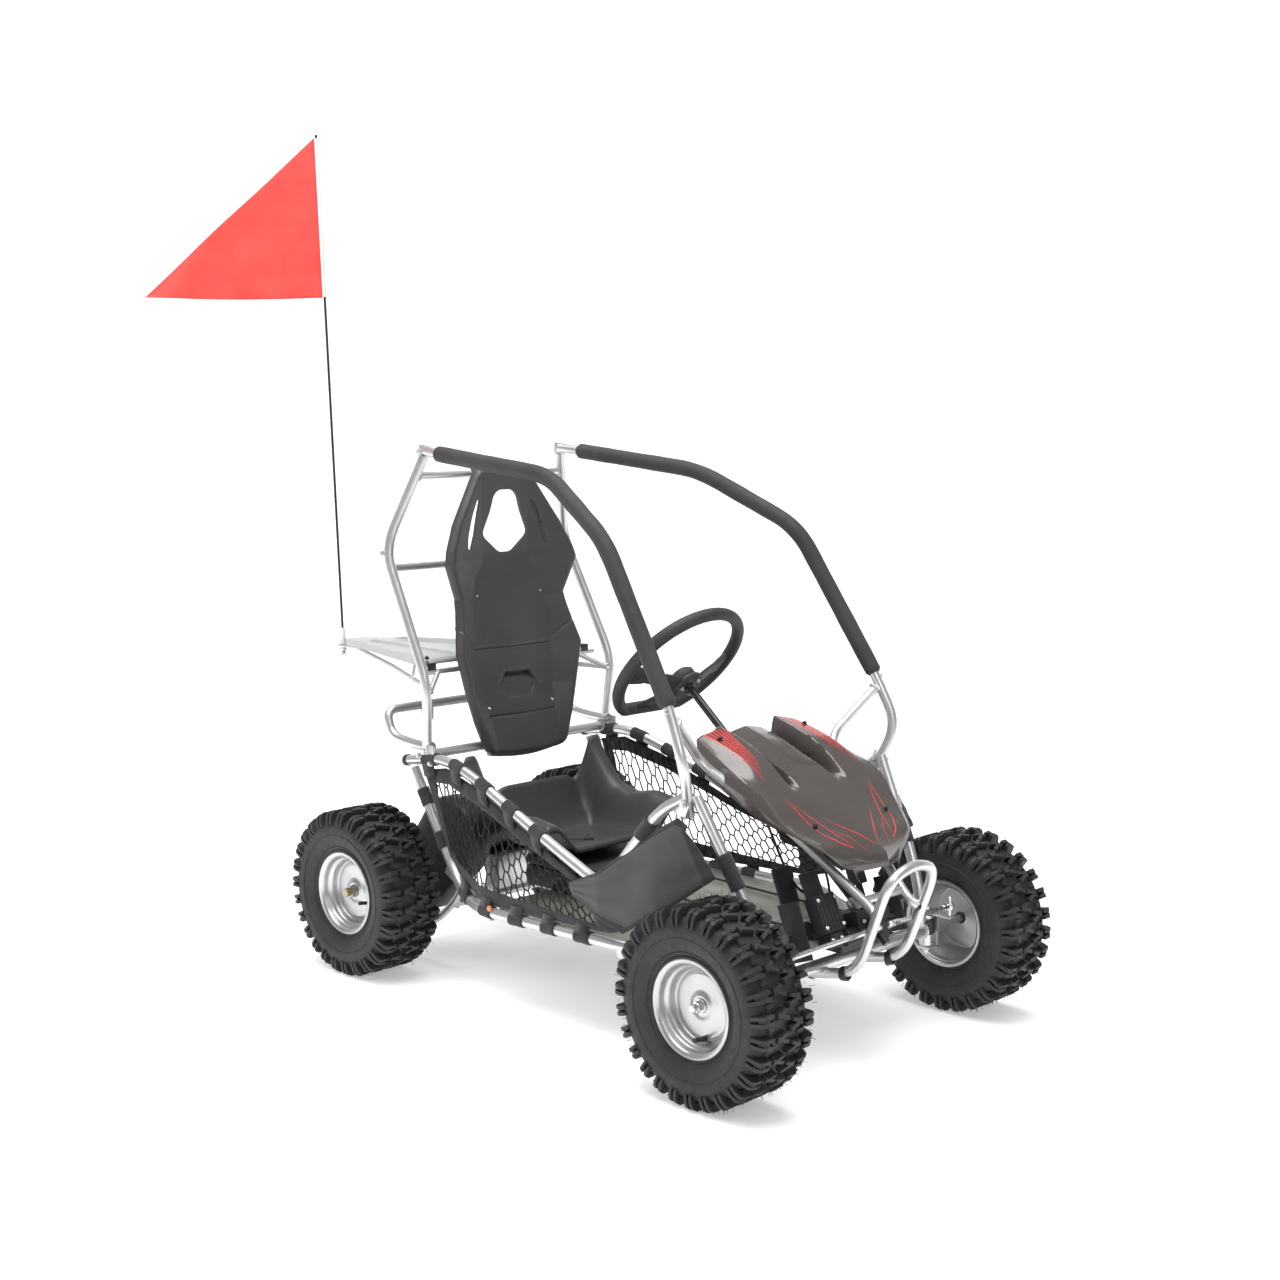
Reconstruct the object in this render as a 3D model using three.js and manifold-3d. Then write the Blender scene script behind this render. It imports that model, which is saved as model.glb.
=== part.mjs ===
// A small off-road pedal-controlled electric kart with a tube cage, as a scene of named sub-parts.
// Millimetres, +X forward, +Y to the driver's left, +Z up. While it is built, x = 0 is the front axle,
// y = 0 the centre plane and z = 0 the ground; the last lines move the origin below the box's centre.
import * as THREE from "three";
import { mergeVertices } from "three/addons/utils/BufferGeometryUtils.js";
import Module from "manifold-3d";

const wasm = await Module();
wasm.setup();

// ---------------------------------------------------------------- driving dimensions
const WHEELBASE = 1057;
const AXLE_HEIGHT = 180;
const TYRE_RADIUS = 180;
const TYRE_WIDTH = 145;
const TYRE_SEGMENTS = 20;
const RIM_RADIUS = 89;
const BEAD_RADIUS = 76;
const RIM_WIDTH = 115;
const RIM_SEGMENTS = 12;
const FRONT_WHEEL_Y = 375.5;
const REAR_WHEEL_Y = 326.5;
const TUBE_RADIUS = 11;
const BAR_RADIUS = 10;
const STRUT_RADIUS = 8;
const ROOF_RADIUS = 10.5;
const FOAM_RADIUS = 17;
const WELD_GAP = 0.4;
const KINGPIN_Y = 262;
const KINGPIN_RADIUS = 14;
const STEERING_ARM = 55;
const COLUMN_LOCK = THREE.MathUtils.degToRad(45);
const KNUCKLE_LOCK = THREE.MathUtils.degToRad(15);
const WHEEL_HUB = [-404, 0, 655];
const WHEEL_DISH = 50;
const WHEEL_OFFSET = 13;
const COLUMN_TILT = THREE.MathUtils.degToRad(40.6);
const COLUMN_LENGTH = 660;
const COLUMN_RADIUS = 8;
const AXLE_RADIUS = 12.5;
const BEARING_Y = 200;
const CHAIN_Y = -150;
const BRAKE_Y = 140;
const DRIVEN_RADIUS = 62;
const DRIVE_RADIUS = 20;
const MOTOR_CENTRE = [-960, 285];
const MOTOR_RADIUS = 48;
const POLE_BASE = [-1559, 0, 620];
const POLE_TOP = [-1629, 0, 1864];
const POLE_RADIUS = 3;
const FLAG_HOIST = 380;
const FLAG_FLY = 430;
const PEDAL_HINGE = [-26, 234];

// ---------------------------------------------------------------- tube centre lines (left side, y > 0)
const SIDE_RAIL = [
  [-979, 264, 465], [-850, 266, 484], [-738, 275, 454], [-537, 290, 377], [-330, 318, 314],
  [-190, 312, 482], [-142, 290, 512],
];
const LOWER_RAIL = [
  [-964, 260, 450], [-839, 252, 232], [-760, 285, 200], [-686, 300, 194], [-303, 300, 202], [-190, 245, 190],
  [-8, 214, 182],
];
const CAGE_UPRIGHT = [[-993, 198, 1112], [-1049, 263, 915], [-902, 273, 639], [-916, 264, 486]];
const ROOF_TUBE = [
  [-994, 198, 1124], [-938, 207, 1118], [-581, 219, 1081], [-360, 283, 966], [-172, 307, 675], [-122, 319, 572],
  [-150, 274, 474],
];
const FOAM_LINE = [[-938, 207, 1118], [-581, 219, 1081], [-360, 283, 966], [-172, 307, 675]];
const FRONT_POST = [[-130, 277, 512], [-32, 253, 327], [2, 238, 252], [4, 234, 190]];
const NOSE_RAIL = [[-162, 298, 648], [-196, 194, 554], [-47, 100, 428], [104, 54, 302], [120, 66, 290]];
const HOOP_ARM = [[-905, 262, 500], [-965, 262, 502], [-1036, 262, 510], [-1056, 262, 564]];
const BUMPER_HALF = [[-22, 70, 160], [83, 70, 181], [153, 73, 367], [157, 0, 388]];
const GUARD_HALF = [[-834, 226, 226], [-905, 206, 150], [-985, 200, 90], [-1132, 194, 90]];

// ---------------------------------------------------------------- materials
function material(color, roughness, metalness) {
  return new THREE.MeshStandardMaterial({ color, roughness, metalness });
}
const zinc = () => material(0xc6c7ca, 0.35, 0.85);
const steel = () => material(0xb9babd, 0.3, 0.9);
const yellowZinc = () => material(0xc9b26a, 0.35, 0.85);
const rubber = () => material(0x2b2a2b, 0.85, 0);
const foamBlack = () => material(0x454343, 0.95, 0);
const plastic = () => material(0x3d3b3c, 0.6, 0);
const gloss = () => material(0x5b5350, 0.2, 0.1);
const blackPaint = () => material(0x1c1c1d, 0.45, 0.3);
const greySheet = () => material(0xb4b6b8, 0.5, 0.4);
const mesh = () => material(0x3f3a38, 0.9, 0);
const flagRed = () => material(0xf2443f, 0.8, 0);
const fibre = () => material(0x1a1a1a, 0.4, 0);

// ---------------------------------------------------------------- solids
// Turns a closed geometry into a solid that faces out.
function solid(geometry) {
  geometry.deleteAttribute("normal");
  geometry.deleteAttribute("uv");
  const merged = mergeVertices(geometry, 1e-3);
  const corners = merged.attributes.position.array;
  const triangles = Uint32Array.from(merged.index.array);
  const kept = [];
  let volume = 0;
  const [a, b, c] = [new THREE.Vector3(), new THREE.Vector3(), new THREE.Vector3()];
  for (let i = 0; i < triangles.length; i += 3) {
    const [i0, i1, i2] = triangles.subarray(i, i + 3);
    if (i0 === i1 || i1 === i2 || i2 === i0) continue;
    kept.push(i0, i1, i2);
    a.fromArray(corners, i0 * 3);
    b.fromArray(corners, i1 * 3);
    c.fromArray(corners, i2 * 3);
    volume += a.dot(b.cross(c));
  }
  if (volume < 0) {
    for (let i = 0; i < kept.length; i += 3) [kept[i], kept[i + 1]] = [kept[i + 1], kept[i]];
  }
  const raw = new wasm.Mesh({ numProp: 3, vertProperties: corners, triVerts: Uint32Array.from(kept) });
  return new wasm.Manifold(raw);
}

function join(...solids) {
  return solids.flat().reduce((whole, next) => whole.add(next));
}

function largest(made) {
  return made.decompose().reduce((best, body) => (body.volume() > best.volume() ? body : best));
}

const vec = (point) => new THREE.Vector3(...point);
const side = (points, s) => points.map(([x, y, z]) => [x, s * y, z]);
const mirroredLoop = (half) => [...side(half, -1), ...side(half, 1).reverse()];

// A polyline as a curve whose own points are the only steps, so that straight stretches stay cheap.
class BentLine extends THREE.Curve {
  constructor(points) {
    super();
    this.points = points;
  }

  getPoint(t, target = new THREE.Vector3()) {
    const place = t * (this.points.length - 1);
    const i = Math.min(Math.floor(place), this.points.length - 2);
    return target.lerpVectors(this.points[i], this.points[i + 1], place - i);
  }

  getSpacedPoints() {
    return this.points;
  }

  getTangentAt(u, target = new THREE.Vector3()) {
    const i = Math.round(u * (this.points.length - 1));
    const here = this.points[i];
    target.set(0, 0, 0);
    if (i > 0) target.add(here.clone().sub(this.points[i - 1]).normalize());
    if (i < this.points.length - 1) target.add(this.points[i + 1].clone().sub(here).normalize());
    return target.normalize();
  }
}

// Rounds the corners of a polyline and lengthens both ends by `extra`.
function rounded(points, bend, steps, extra) {
  const line = points.map(vec);
  const ends = [line[0].clone(), line.at(-1).clone()];
  ends[0].addScaledVector(line[0].clone().sub(line[1]).normalize(), extra);
  ends[1].addScaledVector(line.at(-1).clone().sub(line.at(-2)).normalize(), extra);
  const out = [ends[0]];
  for (let i = 1; i < line.length - 1; i++) {
    const corner = line[i];
    const back = line[i - 1].clone().sub(corner);
    const on = line[i + 1].clone().sub(corner);
    const start = corner.clone().addScaledVector(back.clone().normalize(), Math.min(bend, back.length() * 0.45));
    const end = corner.clone().addScaledVector(on.clone().normalize(), Math.min(bend, on.length() * 0.45));
    out.push(...new THREE.QuadraticBezierCurve3(start, corner, end).getPoints(steps));
  }
  out.push(ends[1]);
  return out;
}

function circle(radius, sides) {
  const points = [];
  for (let i = 0; i < sides; i++) {
    const angle = (2 * Math.PI * (i + 0.5)) / sides;
    points.push(new THREE.Vector2(radius * Math.cos(angle), radius * Math.sin(angle)));
  }
  return points;
}

function tube(points, radius, { bend = 45, steps = 2, sides = 8, extra = 0 } = {}) {
  const line = rounded(points, bend, steps, extra);
  const shape = new THREE.Shape(circle(radius, sides));
  return solid(
    new THREE.ExtrudeGeometry(shape, { extrudePath: new BentLine(line), steps: line.length - 1 }),
  );
}

const rod = (from, to, radius, sides = 12) => tube([from, to], radius, { sides });

function box(size, centre, pitch = 0) {
  return solid(new THREE.BoxGeometry(...size).rotateY(pitch).translate(...centre));
}

// A flat plate in the x-z plane from its outline, `thick` along y and centred on `y`.
function plate(outline, y, thick) {
  const shape = outline instanceof THREE.Shape ? outline : new THREE.Shape(outline.map((p) => new THREE.Vector2(...p)));
  const geometry = new THREE.ExtrudeGeometry(shape, { depth: thick, bevelEnabled: false, curveSegments: 6 });
  return solid(geometry.rotateX(Math.PI / 2).translate(0, y + thick / 2, 0));
}

// A ring turned about an axis along y from a closed profile of [radius, y] points.
function turned(profile, centre, segments) {
  const points = [...profile, profile[0]].map(([r, y]) => new THREE.Vector2(r, y));
  return solid(new THREE.LatheGeometry(points, segments, Math.PI / segments).translate(...centre));
}

function washer(inner, outer, centre, thick, segments = 20) {
  const half = thick / 2;
  return turned([[inner, -half], [outer, -half], [outer, half], [inner, half]], centre, segments);
}

// A sheet of even thickness over surface(u, v), with u and v from 0 to 1.
function sheet(nu, nv, thick, surface) {
  const geometry = new THREE.BoxGeometry(1, 1, 1, nu, nv, 1);
  const places = geometry.attributes.position;
  const step = 1e-3;
  for (let i = 0; i < places.count; i++) {
    const u = places.getX(i) + 0.5;
    const v = places.getY(i) + 0.5;
    const across = vec(surface(Math.min(u + step, 1), v)).sub(vec(surface(Math.max(u - step, 0), v)));
    const along = vec(surface(u, Math.min(v + step, 1))).sub(vec(surface(u, Math.max(v - step, 0))));
    const point = vec(surface(u, v)).addScaledVector(across.cross(along).normalize(), places.getZ(i) * thick);
    places.setXYZ(i, point.x, point.y, point.z);
  }
  return solid(geometry);
}

// Straight-line interpolation through `knots`, a list of [key, value or point].
function through(knots, key) {
  const i = Math.max(1, knots.findIndex(([k]) => k >= key));
  const [k0, v0] = knots[i - 1];
  const [k1, v1] = knots[i];
  const t = (key - k0) / (k1 - k0);
  if (!Array.isArray(v0)) return v0 + t * (v1 - v0);
  return v0.map((value, n) => value + t * (v1[n] - value));
}

// ---------------------------------------------------------------- the scene
const kart = new THREE.Group();

function add(name, made, look) {
  const { vertProperties, triVerts } = made.getMesh();
  const geometry = new THREE.BufferGeometry();
  geometry.setAttribute("position", new THREE.BufferAttribute(vertProperties, 3));
  geometry.setIndex(new THREE.BufferAttribute(triVerts, 1));
  geometry.computeVertexNormals();
  const piece = new THREE.Mesh(geometry, look);
  piece.name = name;
  kart.add(piece);
}

// Each fixed piece is a function of how far it is grown: the piece itself is cut back from every earlier
// fixed piece grown by the weld gap, as a tube's end is coped to fit its neighbour.
const taken = [];

function fixed(name, shape, look) {
  const made = taken.reduce((left, other) => left.subtract(other), shape(0));
  add(name, largest(made), look);
  taken.push(shape(WELD_GAP));
}

const tubeShape = (points, radius, options = {}) => (grow) =>
  tube(points, radius + grow, { ...options, extra: grow });

const SIDES = [["right", -1], ["left", 1]];
const grown = (size, grow) => size.map((length) => length + 2 * grow);

// ---------------------------------------------------------------- frame
for (const [name, s] of SIDES) {
  fixed(`side_rail_${name}`, tubeShape(side(SIDE_RAIL, s), TUBE_RADIUS), zinc());
  fixed(`front_post_${name}`, tubeShape(side(FRONT_POST, s), TUBE_RADIUS), zinc());
}

fixed(
  "front_axle_beam",
  (grow) =>
    join(
      rod([0, -KINGPIN_Y - 8, AXLE_HEIGHT], [0, KINGPIN_Y + 8, AXLE_HEIGHT], KINGPIN_RADIUS - 1 + grow),
      SIDES.map(([, s]) =>
        rod([0, s * KINGPIN_Y, AXLE_HEIGHT - 32 - grow], [0, s * KINGPIN_Y, AXLE_HEIGHT + 32 + grow],
          KINGPIN_RADIUS + grow),
      ),
    ),
  zinc(),
);

for (const [name, s] of SIDES) {
  fixed(`lower_rail_${name}`, tubeShape(side(LOWER_RAIL, s), TUBE_RADIUS), zinc());
  fixed(`roof_tube_${name}`, tubeShape(side(ROOF_TUBE, s), ROOF_RADIUS), zinc());
}

for (const [name, s] of SIDES) {
  const sleeve = tube(side(FOAM_LINE, s), FOAM_RADIUS);
  const core = tube(side(ROOF_TUBE, s), ROOF_RADIUS + 0.7);
  add(`foam_sleeve_${name}`, sleeve.subtract(core), foamBlack());
}

for (const [name, s] of SIDES) {
  fixed(`nose_rail_${name}`, tubeShape(side(NOSE_RAIL, s), STRUT_RADIUS + 1, { bend: 35, sides: 6 }), zinc());
}
fixed(
  "front_bumper",
  tubeShape([...side(BUMPER_HALF, -1).slice(0, 3), BUMPER_HALF[3], ...side(BUMPER_HALF, 1).slice(0, 3).reverse()],
    BAR_RADIUS, { bend: 50, sides: 6 }),
  zinc(),
);

const seatRodLine = [[-922, 80, 486], [-950, 80, 600], [-990, 80, 830], [-1040, 80, 871]];
fixed(
  "rear_cage",
  (grow) =>
    join(
      SIDES.map(([, s]) => tubeShape(side(CAGE_UPRIGHT, s), BAR_RADIUS + 0.5)(grow)),
      rod([-1004, -206, 1070], [-1004, 206, 1070], STRUT_RADIUS + grow, 8),
      rod([-1040, -262, 873], [-1040, 262, 873], STRUT_RADIUS + grow, 8),
      rod([-917, -266, 484], [-917, 266, 484], BAR_RADIUS + grow, 8),
      SIDES.map(([, s]) => tube(side(seatRodLine, s), 5 + grow, { sides: 6 })),
    ),
  zinc(),
);
fixed("rear_hoop", tubeShape(mirroredLoop(HOOP_ARM), BAR_RADIUS, { bend: 30 }), zinc());

for (const [name, x, z, reach] of [["rear", -686, 184, 300], ["front", -303, 188, 300]]) {
  fixed(`crossmember_${name}`, (grow) => rod([x, -reach, z], [x, reach, z], BAR_RADIUS + grow, 8), zinc());
}

// ---------------------------------------------------------------- steering
const columnDown = new THREE.Vector3(Math.cos(COLUMN_TILT), 0, -Math.sin(COLUMN_TILT));
const columnSideways = new THREE.Vector3(Math.sin(COLUMN_TILT), 0, Math.cos(COLUMN_TILT));
const onColumn = (along, up = 0, y = 0) =>
  vec(WHEEL_HUB).addScaledVector(columnDown, along).addScaledVector(columnSideways, up)
    .add(new THREE.Vector3(0, y, 0)).toArray();
const alongColumn = (from, to, radius, sides = 12) => rod(onColumn(from), onColumn(to), radius, sides);
const TAB_REACH = (STEERING_ARM * Math.sin(KNUCKLE_LOCK)) / Math.sin(COLUMN_LOCK);
const TAB_PLACE = 622;

// A bush housing round the column on a flat tongue from a cross bar.
function columnBush(place, bar, barY, grow) {
  const clear = alongColumn(place - 30, place + 30, COLUMN_RADIUS + 0.5);
  const housing = alongColumn(place - 14 - grow, place + 14 + grow, COLUMN_RADIUS + 7 + grow);
  const centre = vec(onColumn(place));
  const toBar = new THREE.Vector3(bar[0] - centre.x, 0, bar[1] - centre.z);
  const pitch = Math.atan2(-toBar.z, toBar.x);
  const tongue = box(
    grown([toBar.length(), 26, 5], grow),
    [centre.x + toBar.x / 2, 0, centre.z + toBar.z / 2],
    pitch,
  );
  const whole = join(
    rod([bar[0], -barY, bar[1]], [bar[0], barY, bar[1]], STRUT_RADIUS + grow, 8),
    tongue,
    housing,
  );
  return grow > 0 ? whole : whole.subtract(clear);
}
fixed("dash_bar", (grow) => columnBush(322, [-120, 492], 148, grow), zinc());
fixed("column_support", (grow) => columnBush(566, [86, 316], 62, grow), zinc());

const tabCentre = onColumn(TAB_PLACE, TAB_REACH / 2 + 2);
add(
  "steering_column",
  join(
    alongColumn(6, COLUMN_LENGTH, COLUMN_RADIUS),
    box([5, 56, TAB_REACH + 12], tabCentre, COLUMN_TILT),
  ),
  blackPaint(),
);

function steeringWheel() {
  const ringRadius = 145;
  const gripRadius = 13;
  const flat = -122;
  const ring = new THREE.TorusGeometry(ringRadius, gripRadius, 6, 20);
  const places = ring.attributes.position;
  for (let i = 0; i < places.count; i++) {
    const centreLine = ringRadius * Math.sin(Math.atan2(places.getY(i), places.getX(i)));
    if (centreLine < flat) places.setY(i, places.getY(i) + flat - centreLine);
  }
  const seated = (shape) =>
    solid(
      shape.rotateZ(-Math.PI / 2).rotateY(COLUMN_TILT - Math.PI / 2)
        .translate(...onColumn(-WHEEL_DISH, WHEEL_OFFSET)),
    );
  const hubPlace = [0, -WHEEL_OFFSET, 6 - WHEEL_DISH];
  const spoke = (reach, degrees) => {
    const turn = THREE.MathUtils.degToRad(degrees);
    return wasm.Manifold.hull([
      seated(new THREE.BoxGeometry(10, 36, 7).translate(reach, 0, 0).rotateZ(turn)),
      seated(new THREE.BoxGeometry(10, 36, 7).rotateZ(turn).translate(...hubPlace)),
    ]);
  };
  return join(
    seated(ring),
    spoke(ringRadius - 5, -4),
    spoke(ringRadius - 5, 184),
    spoke(-flat - 4, 270),
    seated(new THREE.CylinderGeometry(32, 32, 12, 12).rotateX(Math.PI / 2).translate(...hubPlace)),
  );
}
add("steering_wheel", steeringWheel(), plastic());

const BALL_X = STEERING_ARM;
const BALL_Z = 238;
for (const [name, s] of SIDES) {
  const kingpin = s * KINGPIN_Y;
  const strapY = s * (KINGPIN_Y + KINGPIN_RADIUS + 7);
  const yokeZ = [AXLE_HEIGHT - 36, AXLE_HEIGHT + 36];
  add(
    `steering_knuckle_${name}`,
    join(
      yokeZ.map((z) => box([30, KINGPIN_RADIUS + 24, 6], [0, kingpin + s * (KINGPIN_RADIUS + 10) / 2 - s * 4, z])),
      box([30, 8, 78], [0, strapY, AXLE_HEIGHT]),
      box([STEERING_ARM + 16, 16, 6], [STEERING_ARM / 2, kingpin, yokeZ[1]]),
      rod([BALL_X, kingpin, yokeZ[1] - 3], [BALL_X, kingpin, BALL_Z - 9], 6, 8),
      rod([0, strapY, AXLE_HEIGHT], [0, s * (FRONT_WHEEL_Y + 42), AXLE_HEIGHT], COLUMN_RADIUS),
    ),
    zinc(),
  );
  const inner = onColumn(TAB_PLACE + 12, TAB_REACH, s * 19);
  const outer = [BALL_X, kingpin, BALL_Z];
  const eyeUp = vec(inner).addScaledVector(columnDown, -4.5).toArray();
  const eyeDown = vec(inner).addScaledVector(columnDown, 4.5).toArray();
  add(
    `tie_rod_${name}`,
    join(
      rod(outer, inner, 5.5, 8),
      rod([BALL_X, kingpin, BALL_Z - 8], [BALL_X, kingpin, BALL_Z + 8], 9, 8),
      rod(eyeUp, eyeDown, 8, 8),
    ),
    zinc(),
  );
}

// ---------------------------------------------------------------- wheels
function rimProfile(s, bore) {
  const edge = RIM_WIDTH / 2;
  const outside = [
    [RIM_RADIUS, edge], [RIM_RADIUS, edge - 3], [BEAD_RADIUS, edge - 3.5], [BEAD_RADIUS, 34], [66, 24], [66, -24],
    [BEAD_RADIUS, -34], [BEAD_RADIUS, 3.5 - edge], [RIM_RADIUS, 3 - edge], [RIM_RADIUS, -edge],
  ];
  const inside = [
    [73, -edge], [73, -36], [62, -25], [62, 16], [bore, 8], [bore, 30], [26, 30], [58, 23], [62, 36], [73, 42],
    [73, edge],
  ];
  return [...outside, ...inside].map(([r, y]) => [r, s * y]);
}

function tyreProfile() {
  const bead = BEAD_RADIUS + 1;
  const beadEdge = RIM_WIDTH / 2 - 4.5;
  const half = TYRE_WIDTH / 2;
  const facet = TYRE_RADIUS / Math.cos(Math.PI / TYRE_SEGMENTS);
  const one = [[bead, beadEdge], [RIM_RADIUS + 3, beadEdge], [118, half - 4], [150, half], [facet - 8, half - 4],
    [facet, half - 22]];
  return [...one, ...one.map(([r, y]) => [r, -y]).reverse()];
}

for (const [end, x, wheelY, bore] of [
  ["front", 0, FRONT_WHEEL_Y, COLUMN_RADIUS + 0.5],
  ["rear", -WHEELBASE, REAR_WHEEL_Y, AXLE_RADIUS + 0.5],
]) {
  for (const [name, s] of SIDES) {
    const centre = [x, s * wheelY, AXLE_HEIGHT];
    add(`rim_${end}_${name}`, turned(rimProfile(s, bore), centre, RIM_SEGMENTS), steel());
    add(`tyre_${end}_${name}`, turned(tyreProfile(), centre, TYRE_SEGMENTS), rubber());
  }
}

// ---------------------------------------------------------------- rear axle and drive
const rearAxle = [-WHEELBASE, AXLE_HEIGHT];
add(
  "rear_axle",
  rod([rearAxle[0], -REAR_WHEEL_Y - 42, rearAxle[1]], [rearAxle[0], REAR_WHEEL_Y + 42, rearAxle[1]], AXLE_RADIUS),
  steel(),
);

function toothed(teeth, root, tip, bore, centre, y, thick) {
  const outline = [];
  for (let i = 0; i < teeth; i++) {
    for (const [part, radius] of [[-0.3, root], [-0.12, tip], [0.12, tip], [0.3, root]]) {
      const angle = (2 * Math.PI * (i + part)) / teeth;
      outline.push([centre[0] + radius * Math.cos(angle), centre[1] + radius * Math.sin(angle)]);
    }
  }
  const hole = rod([centre[0], y - thick, centre[1]], [centre[0], y + thick, centre[1]], bore, 12);
  return plate(outline, y, thick).subtract(hole);
}
add(
  "driven_sprocket",
  toothed(20, DRIVEN_RADIUS - 5, DRIVEN_RADIUS, AXLE_RADIUS + 0.4, rearAxle, CHAIN_Y, 4),
  steel(),
);
add("motor_sprocket", toothed(8, DRIVE_RADIUS - 5, DRIVE_RADIUS, 6.4, MOTOR_CENTRE, CHAIN_Y, 4), steel());

// The outline round two circles, as a shape in the x-z plane.
function beltOutline(c0, r0, c1, r1, segments) {
  const heading = Math.atan2(c1[1] - c0[1], c1[0] - c0[0]);
  const lean = Math.acos((r0 - r1) / Math.hypot(c1[0] - c0[0], c1[1] - c0[1]));
  const points = [];
  for (const [c, r, from, to] of [
    [c0, r0, heading + lean, heading - lean + 2 * Math.PI],
    [c1, r1, heading - lean, heading + lean],
  ]) {
    for (let i = 0; i <= segments; i++) {
      const angle = from + ((to - from) * i) / segments;
      points.push([c[0] + r * Math.cos(angle), c[1] + r * Math.sin(angle)]);
    }
  }
  return points;
}
add(
  "drive_chain",
  plate(beltOutline(rearAxle, DRIVEN_RADIUS + 9, MOTOR_CENTRE, DRIVE_RADIUS + 9, 10), CHAIN_Y, 7).subtract(
    plate(beltOutline(rearAxle, DRIVEN_RADIUS + 2, MOTOR_CENTRE, DRIVE_RADIUS + 2, 10), CHAIN_Y, 20),
  ),
  blackPaint(),
);

const coverCentre = [-967, 280];
add(
  "chain_cover",
  plate(beltOutline(rearAxle, 79, coverCentre, 92, 10), CHAIN_Y, 52)
    .subtract(plate(beltOutline(rearAxle, 76, coverCentre, 89, 10), CHAIN_Y + 3, 52))
    .subtract(rod([rearAxle[0], CHAIN_Y - 60, rearAxle[1]], [rearAxle[0], CHAIN_Y, rearAxle[1]], 17)),
  plastic(),
);

const motorEnd = CHAIN_Y + 30;
fixed(
  "motor",
  (grow) =>
    join(
      rod([MOTOR_CENTRE[0], motorEnd - grow, MOTOR_CENTRE[1]], [MOTOR_CENTRE[0], 50 + grow, MOTOR_CENTRE[1]],
        MOTOR_RADIUS + grow, 16),
    ),
  blackPaint(),
);

add("brake_disc", washer(AXLE_RADIUS + 0.4, 65, [rearAxle[0], BRAKE_Y, rearAxle[1]], 4, 24), steel());

const guardTubes = (grow) =>
  join(
    tubeShape(mirroredLoop(GUARD_HALF), STRUT_RADIUS, { bend: 40 })(grow),
    rod([-905, -206, 150], [-905, 206, 150], STRUT_RADIUS + grow, 8),
    box(grown([46, 90, 84], grow), [-928, -30, 192]),
  );
fixed("rear_subframe", guardTubes, zinc());

for (const [name, s] of SIDES) {
  const housing = (grow) =>
    join(
      box(grown([64, 8, 120], grow), [rearAxle[0], s * BEARING_Y, 158]),
      rod([rearAxle[0], s * (BEARING_Y - 12 - grow), rearAxle[1]], [rearAxle[0], s * (BEARING_Y + 12 + grow),
        rearAxle[1]], 27 + grow, 14),
    );
  const bore = rod([rearAxle[0], s * (BEARING_Y - 40), rearAxle[1]], [rearAxle[0], s * (BEARING_Y + 40), rearAxle[1]],
    AXLE_RADIUS + 0.5);
  fixed(`bearing_carrier_${name}`, (grow) => (grow > 0 ? housing(grow) : housing(0).subtract(bore)), zinc());
}

fixed(
  "brake_caliper",
  (grow) =>
    box(grown([44, 58, 46], grow), [rearAxle[0] + 34, BRAKE_Y + 13, rearAxle[1] + 46]).subtract(
      rod([rearAxle[0], BRAKE_Y - 5 + grow, rearAxle[1]], [rearAxle[0], BRAKE_Y + 5 - grow, rearAxle[1]], 69, 24),
    ),
  blackPaint(),
);

// ---------------------------------------------------------------- floor, battery and pedals
const floorHalf = [[-705, 272], [-300, 272], [-190, 226], [-60, 208], [20, 200]];
const floorLine = [[0, [-705, 197]], [0.86, [-46, 197]], [0.93, [-14, 208]], [1, [14, 250]]];
const FLOOR_THICKNESS = 2;
function floorPan(u, v) {
  const [x, z] = through(floorLine, u);
  return [x, (2 * v - 1) * through(floorHalf, x), z + FLOOR_THICKNESS];
}
fixed("floor_pan", (grow) => sheet(7, 1, FLOOR_THICKNESS + 2 * grow, floorPan), plastic());
fixed("battery_box", (grow) => box(grown([270, 230, 68], grow), [-640, 0, 235.5]), blackPaint());
fixed(
  "pedal_housing",
  (grow) =>
    join(
      box(grown([30, 60, 74], grow), [32, -104, 290], -0.45),
      box(grown([26, 44, 22], grow), [14, -104, 256]),
    ),
  blackPaint(),
);

for (const [name, y] of [["accelerator", -104], ["brake", 104]]) {
  const [x, z] = PEDAL_HINGE;
  add(
    `${name}_pedal`,
    join(
      rod([x, y - 24, z], [x, y + 24, z], 6, 8),
      box([5, 16, 84], [x - 15, y, z + 38], -0.38),
      box([7, 52, 74], [x - 36, y, z + 92], -0.38),
    ),
    plastic(),
  );
}

// ---------------------------------------------------------------- seat
const seatHalfWidth = [
  [476, 100], [500, 124], [600, 164], [690, 194], [762, 172], [820, 174], [885, 188], [950, 164], [1030, 106],
  [1070, 84],
];
const seatDepth = [[476, 5], [600, 30], [900, 34], [960, 26], [1070, 8]];
const SEAT_BACK_THICKNESS = 7;
function seatBack(u, v) {
  const z = 476 + 594 * v;
  const across = 2 * u - 1;
  const flat = Math.min(1, (1 - Math.abs(across)) / 0.34);
  return [-885 - (z - 480) * 0.112 - flat * through(seatDepth, z), across * through(seatHalfWidth, z), z];
}
fixed("seat_back", (grow) => sheet(6, 8, SEAT_BACK_THICKNESS + 2 * grow, seatBack), plastic());

const SEAT_PAN_THICKNESS = 5;
function seatPan(u, v) {
  const across = Math.abs(2 * v - 1);
  const rise = Math.max(0, 1 - u / 0.32) ** 1.6;
  const horn = Math.exp(-(((across - 0.86) / 0.22) ** 2) - (u / 0.3) ** 2);
  const bolster = Math.max(0, across - 0.62) / 0.38;
  const z = 288 + 108 * rise + 66 * horn + (54 - 20 * u) * bolster ** 1.5 * (1 - rise) + 22 * u * u;
  return [-868 + 262 * u, (2 * v - 1) * 204, z];
}
fixed("seat_pan", (grow) => sheet(7, 8, SEAT_PAN_THICKNESS + 2 * grow, seatPan), plastic());

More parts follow.
